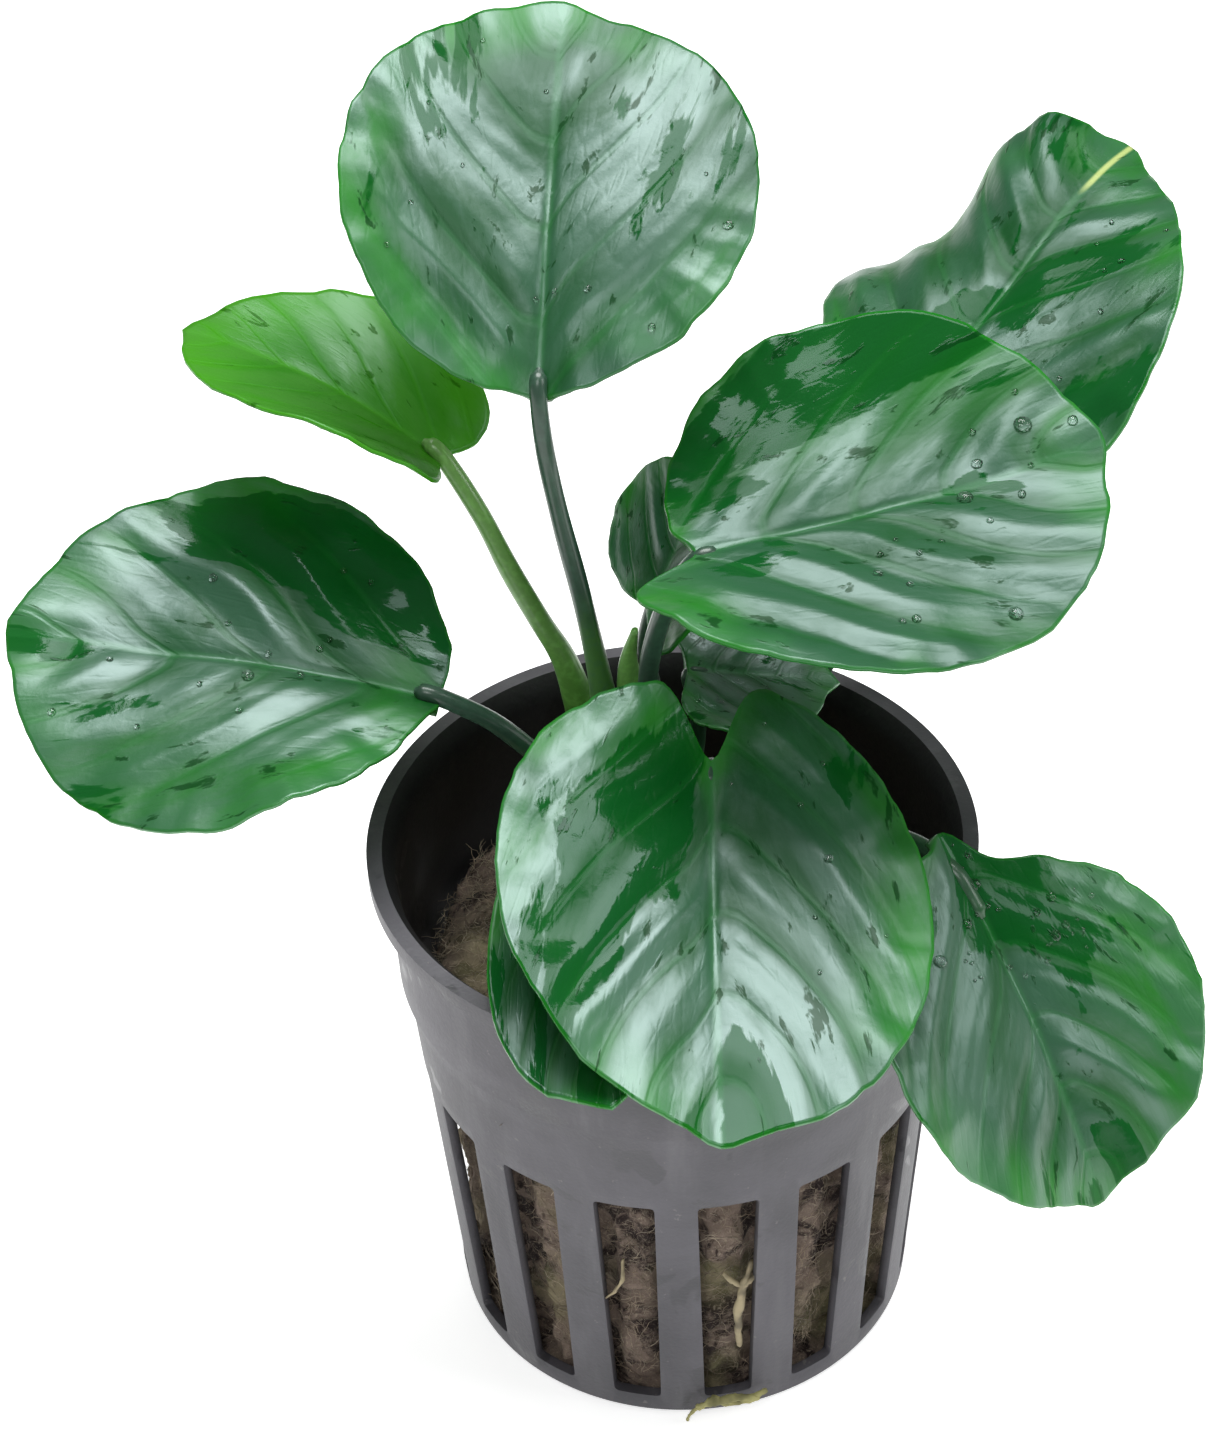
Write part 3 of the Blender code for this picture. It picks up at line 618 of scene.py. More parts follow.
# A leaf's side share paints one half of its blade fresher green, as painted light.
LOOKS = {
    "left": dict(painted_light_side=0.55, wet=((0.2, -0.6, 1.5), (3.6, 0.9, 0.9))),
    "broad": dict(painted_light_side=0.9, shine=0.72, amount=0.38, wet=((0.4, 0.65, 1.8), (3.0, -0.1, 0.9))),
    "right": dict(painted_light_side=0.8, wet=((0.2, 0.2, 1.5), (3.9, 0.25, 0.9))),
    "front": dict(wet=((0.2, -0.45, 1.7), (4.2, 0.25, 1.2), (4.1, -0.3, 0.9))),
    "curled": dict(streak=0.9, amount=0.45, shine=0.65),
    "tucked": dict(amount=0.5),
    "low": dict(amount=0.36, shine=1.3),
    "sprout": dict(amount=0.34, shine=0.45),
}
green_under = under_finish("leaf_underside", (0.045, 0.13, 0.045))
young_under = under_finish("young_leaf_underside", (0.06, 0.26, 0.02))
for name in LEAVES:
    if name == "young":
        # The young leaf's third colour is its wax clouds' pale green, partly painted sheen.
        grown = leaf_finish("young_leaf_skin", SEEDS[name], (0.020, 0.165, 0.0015), (0.042, 0.26, 0.002),
                            (0.045, 0.22, 0.012), 0.34, 0.4, 0.42, 0.4, shine=0.42)
        grow_blade(name, grown, young_under)
        continue
    grown = leaf_finish(name + "_leaf_skin", SEEDS[name], DEEP, RICH, WAX_AND_SHEEN, **LOOKS.get(name, {}))
    grow_blade(name, grown, green_under)

# %% [markdown]
# A stalk is a ring of points, extruded and carried along the leaf's route one station at a time.
# It is round, a little wider where it clasps the rhizome, and it runs up into the keel of its
# blade. The young stalk still wears the sheath that it grew out of, so its foot is the widest.

# %% Sweep the stalks
def smooth_route(points, count):
    """Points spread along a smooth curve through the route's own points."""
    knots = [Vector(p) for p in points]
    knots = [2 * knots[0] - knots[1]] + knots + [2 * knots[-1] - knots[-2]]
    route = []
    for i in range(count):
        place = i / (count - 1) * (len(points) - 1)
        k = min(int(place), len(points) - 2)
        t = place - k
        a, b, c, d = knots[k:k + 4]
        step = b * 2 + (c - a) * t + (a * 2 - b * 5 + c * 4 - d) * t ** 2
        step += (b * 3 - a - c * 3 + d) * t ** 3
        route.append(step / 2)
    return route


def sweep(bm, route, radii, sides=14, flat=1.0):
    """Extrude a ring along a route in millimetres, with a radius for every station."""
    ring = bmesh.ops.create_circle(bm, cap_ends=True, segments=sides, radius=1.0)["verts"]
    edges = list({edge for vert in ring for edge in vert.link_edges})
    ahead = (route[1] - route[0]).normalized()
    side = ahead.orthogonal().normalized()
    last = Matrix.Identity(4)
    for i, centre in enumerate(route):
        if i:
            grown = bmesh.ops.extrude_edge_only(bm, edges=edges)["geom"]
            ring = [item for item in grown if isinstance(item, bmesh.types.BMVert)]
            edges = [item for item in grown if isinstance(item, bmesh.types.BMEdge)]
            edges = [edge for edge in edges if all(vert in set(ring) for vert in edge.verts)]
            ahead = (route[min(i + 1, len(route) - 1)] - route[i - 1]).normalized()
            side = (side - ahead * side.dot(ahead)).normalized()
        up = ahead.cross(side)
        axes = (side * radii[i] * MM, up * radii[i] * flat * MM, ahead * MM)
        frame_now = Matrix(axes).transposed().to_4x4()
        frame_now.translation = centre * MM
        move = frame_now @ last.inverted()
        for vert in ring:
            vert.co = move @ vert.co
        last = frame_now
    bmesh.ops.contextual_create(bm, geom=edges)


def finish_tube(bm):
    bmesh.ops.recalc_face_normals(bm, faces=bm.faces)
    return bm


def stem_finish(name, low, high, reach, rough=0.35):
    """Stem green from its foot to its top, with fine streaks along it."""
    finish, tree, skin = new_finish(name)
    place = object_place(tree)
    height = split(tree, place)[2]
    cloud = speckle(tree, place, 260.0, 4.0, 0.6)
    rise = steps(tree, scaled(tree, cloud, 0.012, height), reach[0], reach[1])
    colour = blend(tree, rise, shade(low), shade(high))
    fine = speckle(tree, place, 1500.0, 2.0, 0.5)
    colour = blend(tree, steps(tree, fine, 0.4, 0.75, 0.0, 0.35), colour, shade(high, 1.9))
    wire(skin, {"Base Color": colour, "Roughness": rough, "Coat Weight": 0.3, "Coat Roughness": 0.2,
                "Normal": bumped(tree, cloud, 0.0001, 0.6)})
    return finish


STATIONS = 36
CLASP = 0.30                   # how much wider a stalk is where it clasps the rhizome
WIDE_CLASP = {"top": 0.65, "young": 0.65}
dark_stem = stem_finish("stalk_skin", (0.014, 0.085, 0.022), (0.022, 0.060, 0.036), (0.056, 0.072))
top_stem = stem_finish("top_stalk_skin", (0.055, 0.17, 0.035), (0.022, 0.060, 0.036), (0.073, 0.083))
young_stem = stem_finish("young_stalk_skin", (0.055, 0.20, 0.020), (0.11, 0.27, 0.055), (0.056, 0.080))
for name, leaf in LEAVES.items():
    ahead, _, up = blade_axes(leaf)
    under = Vector(leaf["base"]) - up * 0.9 + ahead * 0.2
    route = smooth_route(leaf["route"] + [under, under + ahead * 2.2 + up * 0.15], STATIONS)
    thick, thin = leaf["radii"]
    radii = []
    for i in range(STATIONS):
        share = i / (STATIONS - 1)
        clasp = WIDE_CLASP.get(name, CLASP) * (1 - ramp_up(share, 0.0, 0.38))
        taper = 1 - 0.6 * ramp_up(share, 0.93, 1.0)
        wobble = 0.05 * noise.noise(Vector((9 * share, SEEDS[name], 0)))
        radii.append(float((thick + (thin - thick) * share) * (1 + clasp + wobble) * taper))
    bm = bmesh.new()
    sweep(bm, route, radii)
    slot, finish = ("young_stalk", young_stem) if name == "young" else ("stalk", dark_stem)
    finish = top_stem if name == "top" else finish
    add_piece(name + "_stem", finish_tube(bm), finish, [name + "_stalk"], smooth_angle=50)

# %% [markdown]
# The rhizome is a thick creeping stem. Every leaf that it has ever carried left a ring on it, so
# it is a sweep whose radius swells and pinches. Roots leave its sides and dive into the wool. At
# its growing tip a pale sheath wraps the next leaf.

# %% The rhizome, its roots and the bud
RHIZOME_FOOT, RHIZOME_CROWN = Vector((3.0, 2.0, 40.5)), Vector((-4.0, 10.5, 55.0))
RHIZOME_RADII = (3.3, 2.7)
BUD_ROUTE = [(-3.1, 10.9, 56.5), (-3.3, 10.6, 62.0), (-3.4, 9.4, 67.0), (-2.7, 8.2, 71.5)]
ROOTS = {
    "root_front": (0.10, -80, (5.0, -8.0, 37.5)),
    "root_left": (0.22, 190, (-8.5, -1.5, 37.0)),
    "root_right": (0.12, 10, (13.0, 1.0, 37.5)),
    "root_back": (0.30, 70, (6.0, 13.0, 37.5)),
    "root_low": (0.34, 165, (-10.0, 8.0, 37.0)),
}
RHIZOME_STATIONS, ROOT_STATIONS, BUD_STATIONS = 60, 24, 30
bm = bmesh.new()
route = [RHIZOME_FOOT.lerp(RHIZOME_CROWN, i / (RHIZOME_STATIONS - 1)) for i in range(RHIZOME_STATIONS)]
radii = []
for i in range(RHIZOME_STATIONS):
    share = i / (RHIZOME_STATIONS - 1)
    dome = sqrt(max(0.02, 1 - max(0.0, (share - 0.9) / 0.1) ** 2 * 0.9))
    ring = 0.10 * abs(sin(7 * pi * share)) - 0.06
    radii.append((RHIZOME_RADII[0] + (RHIZOME_RADII[1] - RHIZOME_RADII[0]) * share) * (0.97 + ring) * dome)
sweep(bm, route, radii, sides=40)
axis = (RHIZOME_CROWN - RHIZOME_FOOT).normalized()
for vert in bm.verts:
    bump_up = noise.noise(vert.co * 420) * 0.00022 + noise.noise(vert.co * 1300) * 0.00008
    away = vert.co - RHIZOME_FOOT * MM
    away = (away - axis * away.dot(axis)).normalized()
    vert.co += away * bump_up
rhizome_skin = stem_finish("rhizome_skin", (0.035, 0.045, 0.012), (0.030, 0.095, 0.018), (0.046, 0.060), 0.5)
add_piece("rhizome_stem", finish_tube(bm), rhizome_skin, ["rhizome"], smooth_angle=60)

root_skin = stem_finish("root_skin", (0.16, 0.12, 0.05), (0.20, 0.17, 0.07), (0.038, 0.050), 0.6)
for name, (share, heading, end) in ROOTS.items():
    centre = RHIZOME_FOOT.lerp(RHIZOME_CROWN, share)
    out = Vector((cos(radians(heading)), sin(radians(heading)), 0.0))
    aside = (out - axis * out.dot(axis)).normalized()
    start = centre + aside * 2.6
    end = Vector(end)
    route = [start, start + out * 3.6 + Vector((0, 0, -0.8)), start.lerp(end, 0.6) + out * 1.5, end]
    route = smooth_route(route, ROOT_STATIONS)
    radii = [0.7 - 0.3 * i / (ROOT_STATIONS - 1) + 0.08 * noise.noise(Vector((i * 0.6, share * 30, 0)))
             for i in range(ROOT_STATIONS)]
    bm = bmesh.new()
    sweep(bm, route, radii, sides=10)
    add_piece(name + "_strand", finish_tube(bm), root_skin, [name])

route = smooth_route(BUD_ROUTE, BUD_STATIONS)
radii = [1.75 * (1 - 0.8 * (i / (BUD_STATIONS - 1)) ** 1.4) for i in range(BUD_STATIONS)]
bm = bmesh.new()
sweep(bm, route, radii, sides=16, flat=0.8)
bud_skin = stem_finish("bud_skin", (0.055, 0.20, 0.018), (0.13, 0.33, 0.07), (0.058, 0.072))
add_piece("bud", finish_tube(bm), bud_skin, ["bud_sheath"])

# %% [markdown]
# The net pot is moulded in one shot from black polypropylene: a thin flange, a smooth band, and a
# slotted basket below the step. One spun section gives the middle of its wall. The slots are
# opened by deleting faces, and the points beside them are moved round so that each slot narrows
# towards its foot and has rounded corners. Solidify then gives the wall its thickness.

# %% Mould the net pot
SLOT_TOP, SLOT_FOOT = 31.3, 2.9
SLOT_WIDE, SLOT_NARROW = 5.5, 4.4
SLOT_COUNT = 16
FIRST_SLOT = -90 - 1.6 + 180 / SLOT_COUNT
PER_PITCH = 12                 # sectors from one slot to the next, half of them across the slot
WALL_SKIN = 0.95
DRAIN_INNER, DRAIN_OUTER = 9.0, 17.0


def wall_radius(z):
    return 21.4 + (24.45 - 21.4) * (z - 1.0) / 39.7


# radius and height down the middle of the wall: the lip and band, the slotted cone, the floor
rows = [(27.05, 53.0), (27.05, 54.12), (26.35, 54.12), (25.75, 53.3), (25.42, 52.0), (25.3, 49.5),
        (25.15, 45.0), (25.05, 41.6), (24.45, 40.7)]
heights = [38.5, 35.5, 33.0, SLOT_TOP, SLOT_TOP - 0.12, SLOT_TOP - 0.4, 28.0, 24.5, 21.0, 17.5, 14.0,
           10.5, 7.0, SLOT_FOOT + 0.4, SLOT_FOOT + 0.12, SLOT_FOOT]
rows += [(wall_radius(z), z) for z in heights] + [(wall_radius(1.0), 1.0)]
rows += [(reach, 0.6) for reach in (20.9, 19.0, DRAIN_OUTER, 13.0, DRAIN_INNER, 4.0, 0.0)]
bm = spun([(r * MM, z * MM) for r, z in rows], SLOT_COUNT * PER_PITCH)


def slot_half_angle(z):
    """Half the slot's width at a height, as an angle, with its corners rounded."""
    share = (z - SLOT_FOOT) / (SLOT_TOP - SLOT_FOOT)
    half = (SLOT_NARROW + (SLOT_WIDE - SLOT_NARROW) * min(max(share, 0.0), 1.0)) / 2
    from_end = min(abs(z - SLOT_TOP), abs(z - SLOT_FOOT))
    if from_end < 0.05:
        half -= 0.4
    elif from_end < 0.2:
        half -= 0.12
    return degrees(asin(half / wall_radius(z)))


pitch = 360 / SLOT_COUNT
holes = []
for face in bm.faces:
    middle = face.calc_center_median()
    z = middle.z / MM
    reach = middle.xy.length / MM
    turned = degrees(np.arctan2(middle.y, middle.x))
    sector = (turned / pitch * PER_PITCH) % PER_PITCH
    if SLOT_FOOT < z < SLOT_TOP and reach > 20 and abs(sector - PER_PITCH / 2) < 3:
        holes.append(face)
    sector = (turned / (2 * pitch) * PER_PITCH) % PER_PITCH
    if z < 0.8 and DRAIN_INNER < reach < DRAIN_OUTER and abs(sector - PER_PITCH / 2) < 2:
        holes.append(face)
bmesh.ops.delete(bm, geom=holes, context="FACES")
for vert in bm.verts:
    z = vert.co.z / MM
    reach = vert.co.xy.length
    turned = degrees(np.arctan2(vert.co.y, vert.co.x))
    lap = turned // pitch
    beside = turned / pitch * PER_PITCH % PER_PITCH - PER_PITCH / 2
    if z < 40.8 and reach > 20 * MM:
        on_slot = SLOT_FOOT - 0.1 < z < SLOT_TOP + 0.1
        half = slot_half_angle(z if on_slot else (SLOT_TOP + SLOT_FOOT) / 2)
        side = abs(beside)
        new = half * side / 3 if side <= 3 else half + (pitch / 2 - half) * (side - 3) / 3
        turned = (lap + 0.5) * pitch + (new if beside > 0 else -new)
    turned += FIRST_SLOT - pitch / 2
    vert.co.x = reach * cos(radians(turned))
    vert.co.y = reach * sin(radians(turned))
bmesh.ops.delete(bm, geom=[v for v in bm.verts if not v.link_faces], context="VERTS")


def pot_finish():
    """Black polypropylene with a moulded grain, greyed by handling and lime outside, and painted near black
    on its inward faces as painted shade.
    """
    finish, tree, skin = new_finish("pot_plastic")
    place = object_place(tree)
    x, y, z = split(tree, place)
    facing = split(tree, node(tree, "ShaderNodeNewGeometry").outputs["Normal"])
    outward = math(tree, "ADD", times(tree, x, facing[0]), times(tree, y, facing[1]))
    wet_spots = steps(tree, speckle(tree, place, 170.0, 3.0, 0.5, 0.5), 0.62, 0.66)
    clouds = speckle(tree, place, 60.0, 5.0, 0.6, 0.4)
    streaks = speckle(tree, combine(tree, x, y, times(tree, z, 0.15)), 260.0, 4.0, 0.6)
    grain = speckle(tree, place, 2600.0, 2.0, 0.5)
    dust = speckle(tree, place, 900.0, 3.0, 0.7)
    colour = blend(tree, steps(tree, clouds, 0.35, 0.7), shade((0.050, 0.048, 0.056)),
                   shade((0.090, 0.086, 0.100)))
    colour = blend(tree, steps(tree, streaks, 0.5, 0.75, 0.0, 0.5), colour, shade((0.12, 0.117, 0.128)))
    colour = blend(tree, steps(tree, dust, 0.66, 0.74, 0.0, 0.7), colour, shade((0.16, 0.15, 0.15)))
    colour = blend(tree, times(tree, wet_spots, 0.6), colour, shade((0.030, 0.029, 0.034)))
    # Painted shade: every face turned inwards is painted near black, for the shade inside the pot.
    colour = blend(tree, steps(tree, outward, -0.006, 0.001), shade((0.012, 0.012, 0.013)), colour)
    rough = scaled(tree, wet_spots, -0.15, scaled(tree, clouds, 0.25, 0.30))
    height = scaled(tree, streaks, 0.9, times(tree, grain, 0.6))
    wire(skin, {"Base Color": colour, "Roughness": scaled(tree, grain, 0.12, rough),
                "Normal": bumped(tree, height, 0.00008, 0.7)})
    return finish


for vert in bm.verts:
    vert.co.z += noise.noise(vert.co * 30) * 0.00012
pot = add_piece("pot_shell", bm, pot_finish(), ["net_pot"], smooth_angle=35)
wall = pot.modifiers.new("wall", "SOLIDIFY")
wall.thickness = WALL_SKIN * MM
wall.offset = 0.0
wall.use_even_offset = True
round_off = pot.modifiers.new("round_off", "BEVEL")
round_off.width = 0.18 * MM
round_off.segments = 2
round_off.limit_method = "ANGLE"
round_off.angle_limit = radians(50)
print("slots opened:", len(holes), "faces")

# %% [markdown]
# Mineral wool is spun rock: a springy brown felt of fine threads. The plug underneath is one
# lumpy body, and thousands of loose threads are laid over it. They're thickest where the wool is
# torn, on the top and in the slots.

# %% The plug of mineral wool
WOOL_TOP, WOOL_RISE, WOOL_SHOULDER = 39.0, 2.2, 2.5
WOOL_INNER = 23.2              # how far the plug reaches at its top
WOOL_SECTORS = 260
TORN_TOP, TORN_SIDE, RIB_PULL = 3.0, 1.5, 1.5


def wool_level(x, y):
    """Height of the wool's lumpy top above its mean, in millimetres. It falls off at the wall."""
    lumps = np.sin(0.31 * x + 0.8) * np.cos(0.27 * y - 0.4) + 0.5 * np.sin(0.62 * x - 0.45 * y + 1.7)
    edge = max(0.0, (sqrt(x * x + y * y) / WOOL_INNER - 0.8) / 0.2)
    return WOOL_RISE * lumps / 1.5 * (1 - 0.6 * edge) - WOOL_SHOULDER * edge ** 2


def wool_side(z):
    """Radius of the plug's side at a height: it keeps just off the wall."""
    return 20.9 + (23.3 - 20.9) * (z - 1.5) / 35.0


def tufts(place, size, seed):
    """Torn, clotted relief between 0 and 1."""
    broad = noise.noise(place * (1 / size) + Vector((seed, 0, 0)))
    fine = noise.noise(place * (2.6 / size) + Vector((0, seed, 0)))
    return max(0.0, min(1.0, 0.5 + 0.62 * broad + 0.38 * fine))


def clump(x, y):
    """Extra height of the torn clumps at the left and at the back left of the pot."""
    back = 5.5 * np.exp(-(((x + 16.0) / 5.0) ** 2 + ((y - 11.5) / 5.5) ** 2))
    return back + 3.0 * np.exp(-(((x + 19.0) / 5.0) ** 2 + ((y + 4.0) / 8.0) ** 2))


def beside_rib(place):
    """How close a place on the plug's side is to a rib, where the wool is pulled in."""
    turned = degrees(np.arctan2(place.y, place.x))
    off_slot = abs((turned - FIRST_SLOT + pitch / 2) % pitch - pitch / 2) / slot_half_angle(SLOT_TOP - 5)
    return float(ramp_up(off_slot, 0.6, 1.05))


def torn_top(place):
    """Height of the torn tufts on the plug's top."""
    return TORN_TOP * (tufts(place, 4.5, 3.0) - 0.6)


def torn_side(place):
    """Depth of the hollows in the plug's side, with the pull of the pot's ribs."""
    return TORN_SIDE * (1 - tufts(place, 4.2, 5.0)) + RIB_PULL * beside_rib(place)


side_rows = [(wool_side(z), z) for z in np.linspace(1.5, 35.5, 70)]
top_rows = [(WOOL_INNER * r, WOOL_TOP) for r in np.linspace(0.985, 0.0, 46)]
base_rows = [(0.0, 1.5), (12.0, 1.5)]
bm = spun([(r * MM, z * MM) for r, z in base_rows + side_rows + top_rows], WOOL_SECTORS)
for vert in bm.verts:
    place = vert.co / MM
    reach = place.xy.length
    if place.z > 38.9:
        lift = wool_level(place.x, place.y) + clump(place.x, place.y)
        lift += torn_top(place) + 1.6 * (tufts(place, 1.6, 8.0) - 0.5)
        vert.co.z += lift * MM
    elif place.z > 2.0:
        squashed = Vector((place.x, place.y, place.z * 0.8))
        inward = torn_side(squashed) + 0.7 * (1 - tufts(squashed, 1.5, 12.0))
        shrink = 1 - inward / reach
        vert.co.x *= shrink
        vert.co.y *= shrink


def wool_finish(name, painted_hollow_shade, mid, light):
    """Brown clotted wool, with painted shade: near-black patches laid at random stand in for its shaded
    hollows.
    """
    finish, tree, skin = new_finish(name)
    place = object_place(tree)
    shade_clots = speckle(tree, place, 210.0, 6.0, 0.65, 0.8)
    threads = speckle(tree, place, 1400.0, 4.0, 0.7, 2.0)
    # Painted shade: noise lays near-black patches for the hollows between clots.
    colour = blend(tree, steps(tree, shade_clots, 0.42, 0.54), shade(painted_hollow_shade), shade(mid))
    colour = blend(tree, steps(tree, threads, 0.5, 0.7, 0.0, 0.7), colour, shade(light))
    colour = blend(tree, steps(tree, speckle(tree, place, 90.0, 3.0, 0.5), 0.5, 0.68, 0.0, 0.5), colour,
                   shade((light[0] * 0.75, light[1] * 0.85, light[2] * 0.55)))
    wire(skin, {"Base Color": colour, "Roughness": 0.92, "Specular IOR Level": 0.3,
                "Normal": bumped(tree, threads, 0.0003, 0.9)})
    return finish


# The first colour is the painted shade of the hollows.
plug_skin = wool_finish("wool_body", (0.024, 0.015, 0.014), (0.20, 0.150, 0.120), (0.36, 0.300, 0.225))
add_piece("wool_plug", bm, plug_skin, ["mineral_wool"])

# %% [markdown]
# A loose thread is a very thin three-sided sweep with a random curl. A few shapes are enough:
# each copy is turned, sized and laid on the plug anew, and all the copies are joined in one mesh.

# %% Lay the loose threads
def thread_shape(rng, bends=6):
    """One curled thread, about a unit long, lying in a plane."""
    route = []
    heading = rng.uniform(-0.4, 0.4)
    point = Vector((-0.5, 0, 0))
    for i in range(bends):
        route.append(point.copy())
        heading += rng.uniform(-0.75, 0.75)
        point += Vector((cos(heading), sin(heading), rng.uniform(-0.12, 0.16))) / (bends - 1)
    bm = bmesh.new()
    sweep(bm, route, [0.009] * bends, sides=3)
    mesh = bpy.data.meshes.new("thread")
    bm.to_mesh(mesh)
    bm.free()
    return mesh


def lay_threads(name, count, spots, finish, length):
    """Join many threads in one piece; spots gives a place and the surface's outward direction."""
    bm = bmesh.new()
    moves = []
    for _ in range(count):
        shape = rng.choice(shapes)
        bm.from_mesh(shape)
        centre, outward = spots(rng)
        size = rng.uniform(*length)
        spin = Quaternion(outward, rng.uniform(0, 2 * pi)) @ Vector((0, 0, 1)).rotation_difference(outward)
        move = Matrix.Translation(centre) @ spin.to_matrix().to_4x4() @ Matrix.Scale(size, 4)
        moves.append((move, len(shape.vertices)))
        rng.random()                   # a spare draw: it only moves the next thread's draws on
    row = iter(bm.verts)
    for move, total in moves:
        for _ in range(total):
            vert = next(row)
            vert.co = move @ vert.co
    add_piece(name, bm, finish)


rng = random.Random(41)
shapes = [thread_shape(rng) for _ in range(14)]


def top_spot(rng):
    reach = 22.4 * sqrt(rng.random())
    heading = rng.uniform(0, 2 * pi)
    x, y = reach * cos(heading), reach * sin(heading)
    z = WOOL_TOP + wool_level(x, y)
    z += torn_top(Vector((x, y, WOOL_TOP))) + rng.uniform(-0.1, 0.7) + clump(x, y)
    tilt = Vector((rng.uniform(-0.45, 0.45), rng.uniform(-0.45, 0.45), 1.0)).normalized()
    return Vector((x, y, z)) * MM, tilt


def slot_spot(rng):
    slot_at = FIRST_SLOT + pitch * rng.randrange(SLOT_COUNT)
    z = rng.uniform(SLOT_FOOT + 0.6, SLOT_TOP - 0.6)
    half = (SLOT_NARROW + (SLOT_WIDE - SLOT_NARROW) * (z - SLOT_FOOT) / (SLOT_TOP - SLOT_FOOT)) / 2
    heading = radians(slot_at + degrees(rng.uniform(-half, half) / 22.5))
    out = Vector((cos(heading), sin(heading), 0))
    surface = Vector((out.x * wool_side(z), out.y * wool_side(z), z * 0.8))
    reach = wool_side(z) - torn_side(surface) + rng.uniform(-0.5, 0.15)
    lean = Vector([rng.uniform(-0.3, 0.3) for _ in range(3)])
    tilt = (out + lean).normalized()
    return (out * reach + Vector((0, 0, z))) * MM, tilt


def thread_finish(name, colour):
    finish, tree, skin = new_finish(name)
    place = object_place(tree)
    tint = speckle(tree, place, 500.0, 2.0, 0.5)
    mixed = blend(tree, steps(tree, tint, 0.35, 0.65), shade(colour, 0.45), shade(colour, 1.3))
    wire(skin, {"Base Color": mixed, "Roughness": 0.7})
    return finish


brown_thread = thread_finish("wool_thread_brown", (0.28, 0.220, 0.155))
pale_thread = thread_finish("wool_thread_pale", (0.40, 0.34, 0.25))
lay_threads("top_threads_brown", 3400, top_spot, brown_thread, (1.5, 3.6))
lay_threads("top_threads_pale", 1500, top_spot, pale_thread, (1.2, 3.2))
lay_threads("slot_threads_brown", 2400, slot_spot, brown_thread, (1.6, 3.6))
lay_threads("slot_threads_pale", 700, slot_spot, pale_thread, (1.4, 3.2))

# %% [markdown]
# Two small things show that the plant has just been lifted from its tank. Beads of water stand on
# the waxy leaves, flattened by their own weight, and a few shreds of dead root cling to the pot.

# %% Beads of water
def blade_bead_frame(name, rho, turn):
    """A place on a blade and the surface's direction there."""
    step = 0.01
    spots = np.array([rho, rho - step, rho]), np.array([turn, turn, turn + step])
    place, _, _ = blade_surface(LEAVES[name], SEEDS[name], *spots)
    inward, round_it = Vector(place[1] - place[0]), Vector(place[2] - place[0])
    up = round_it.cross(inward).normalized()
    if up.dot(blade_axes(LEAVES[name])[2]) < 0:
        up.negate()
    return Vector(place[0]), up


# leaf: how many beads, how far out and round they lie, and their radii
BEADS = {
    "left": (14, (0.1, 0.9), (-180, 180), (0.28, 0.62)),
    "broad": (18, (0.2, 0.95), (-95, 30), (0.28, 0.85)),
    "right": (42, (0.30, 0.97), (125, 225), (0.16, 0.60)),
    "top": (12, (0.2, 0.9), (-180, 180), (0.22, 0.5)),
    "curled": (8, (0.5, 0.95), (-120, 0), (0.25, 0.55)),
    "front": (9, (0.3, 0.95), (60, 180), (0.22, 0.5)),
    "low": (16, (0.2, 0.95), (-170, -10), (0.14, 0.35)),
}
water, _, skin = new_finish("water")
wire(skin, {"Base Color": (1, 1, 1, 1), "Transmission Weight": 1.0, "IOR": 1.33, "Roughness": 0.02})
rng = random.Random(7)
for name, (count, far, around, sizes) in BEADS.items():
    bm = bmesh.new()
    for _ in range(count):
        size = sizes[0] + (sizes[1] - sizes[0]) * rng.random() ** 2.2
        place, up = blade_bead_frame(name, rng.uniform(*far), radians(rng.uniform(*around)))
        turned = Vector((0, 0, 1)).rotation_difference(up).to_matrix().to_4x4()
        shape = Matrix.Diagonal((size * rng.uniform(0.85, 1.2) * MM, size * MM, size * 0.7 * MM, 1.0))
        move = Matrix.Translation((place + up * size * 0.12) * MM) @ turned @ shape
        bmesh.ops.create_icosphere(bm, subdivisions=3 if size > 0.4 else 2, radius=1.0, matrix=move)
    add_piece(name + "_beads", bm, water)

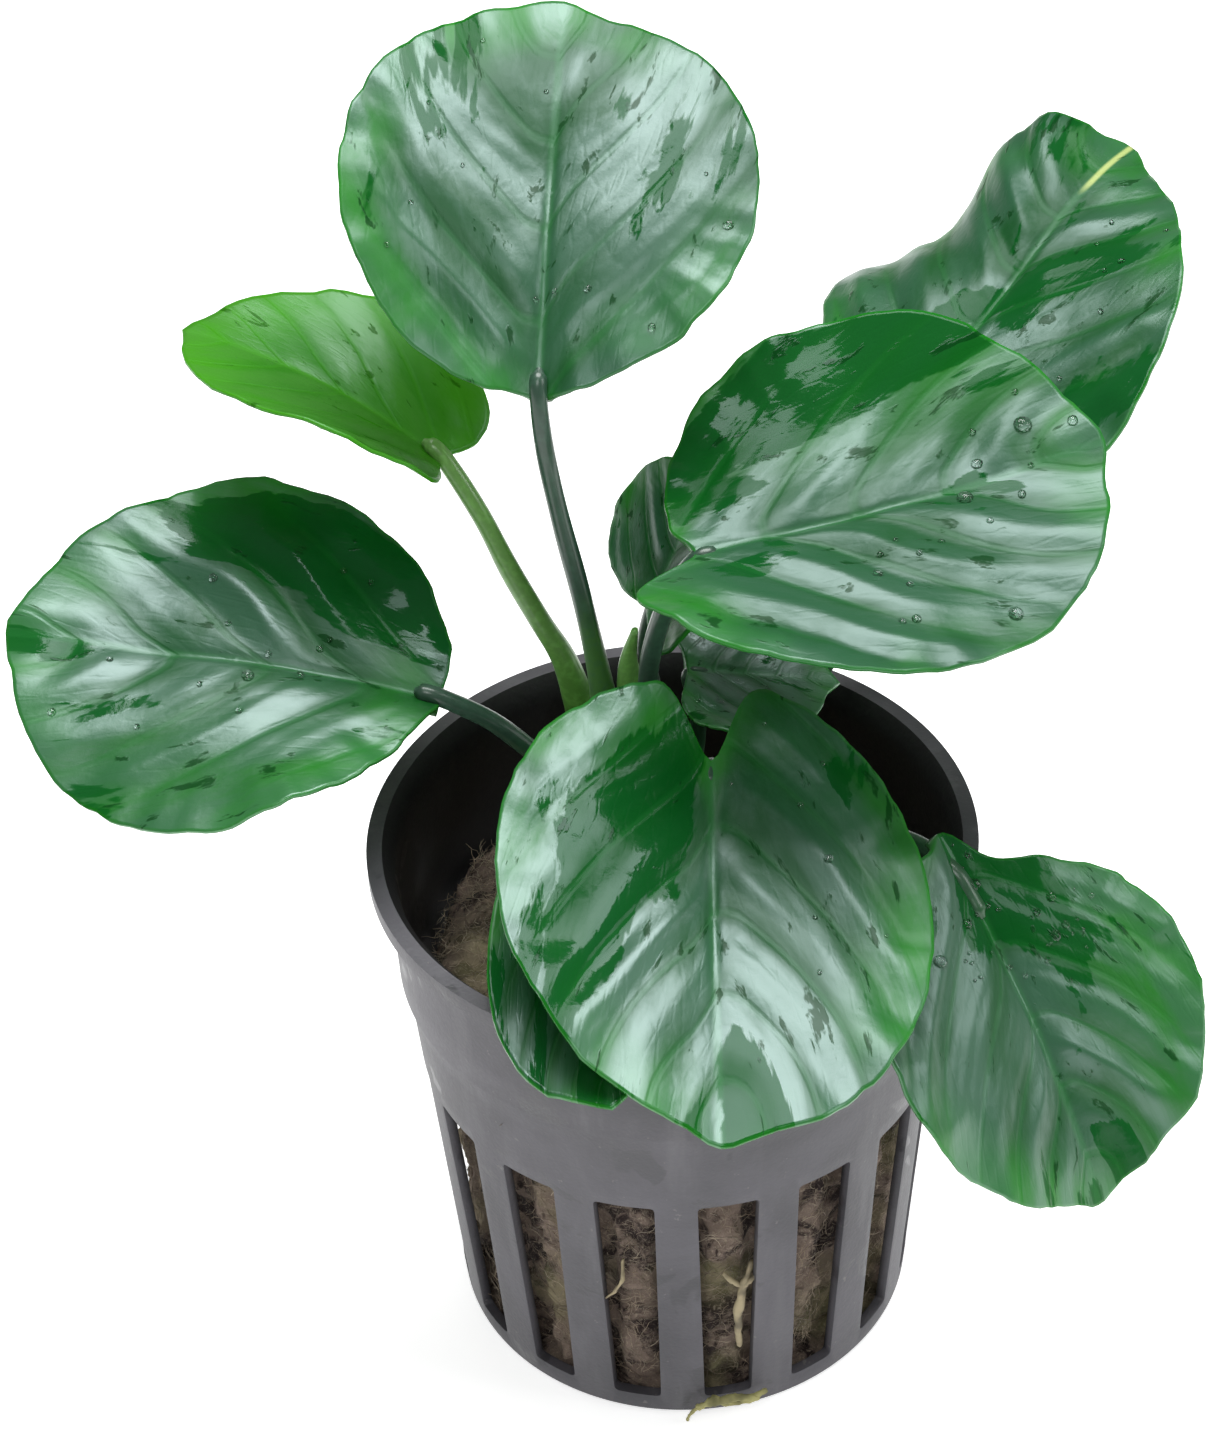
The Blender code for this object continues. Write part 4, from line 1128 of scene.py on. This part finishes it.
# %% Shreds of root and sheath
# name: the strand's radius and its route
SHREDS = {
    "foot_shred": (0.50, [(0.6, -22.7, 2.0), (2.4, -22.8, 3.1), (4.8, -22.5, 2.6), (7.4, -21.8, 3.2)]),
    "foot_shred_short": (0.40, [(1.8, -22.8, 2.6), (4.0, -22.9, 3.5), (6.6, -22.3, 2.7)]),
    "foot_shred_tail": (0.18, [(1.6, -22.7, 2.8), (0.2, -22.9, 1.6), (-0.4, -22.8, 0.3)]),
    "slot_root": (0.55, [(6.2, -21.3, 21.0), (5.2, -22.0, 18.0), (4.7, -22.1, 14.0), (4.9, -21.2, 9.0)]),
    "slot_root_thin": (0.30, [(3.4, -21.8, 20.0), (5.0, -22.1, 18.6), (7.0, -21.6, 19.8)]),
    "slot_root_side": (0.26, [(-5.6, -21.6, 22.0), (-6.0, -22.0, 19.0), (-7.4, -21.4, 16.5)]),
}
shred_skin = thread_finish("shred_skin", (0.34, 0.32, 0.13))
root_bit_skin = thread_finish("root_bit_skin", (0.30, 0.25, 0.15))
SHRED_STATIONS = 26
SHRED_SEED = 11                # unseeded, the shreds' roughness would follow the clock
noise.seed_set(SHRED_SEED)
for name, (radius, path) in SHREDS.items():
    route = smooth_route(path, SHRED_STATIONS)
    radii = []
    for i in range(SHRED_STATIONS):
        full = 0.55 + 0.45 * sin(pi * i / (SHRED_STATIONS - 1))
        radii.append(radius * full * (1 + 0.5 * noise.noise(Vector((i * 0.7, radius * 9, 0)))))
    bm = bmesh.new()
    sweep(bm, route, radii, sides=9, flat=0.6)
    for vert in bm.verts:
        vert.co += noise.noise_vector(vert.co * 900) * 0.00015
        vert.co.z = max(vert.co.z, 0.0001)
    add_piece(name, finish_tube(bm), root_bit_skin if "slot" in name else shred_skin)

# %% [markdown]
# The finished plant may stand a little proud of its frame, because the frame's leaves are smooth
# and the real ones are wavy. Both boxes are kept, so that the difference can be read.

# %% Sizes and finish
def plain(box):
    """A box as plain lists of numbers."""
    if isinstance(box, dict):
        return {key: plain(value) for key, value in box.items()}
    if isinstance(box, (list, tuple, Vector, np.ndarray)):
        return [plain(value) for value in box]
    return float(box)


SCENE_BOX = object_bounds()
{"cad": plain(CAD_BOX), "scene": plain(SCENE_BOX)}
print("frame:", plain(CAD_BOX))
print("finished:", plain(SCENE_BOX))
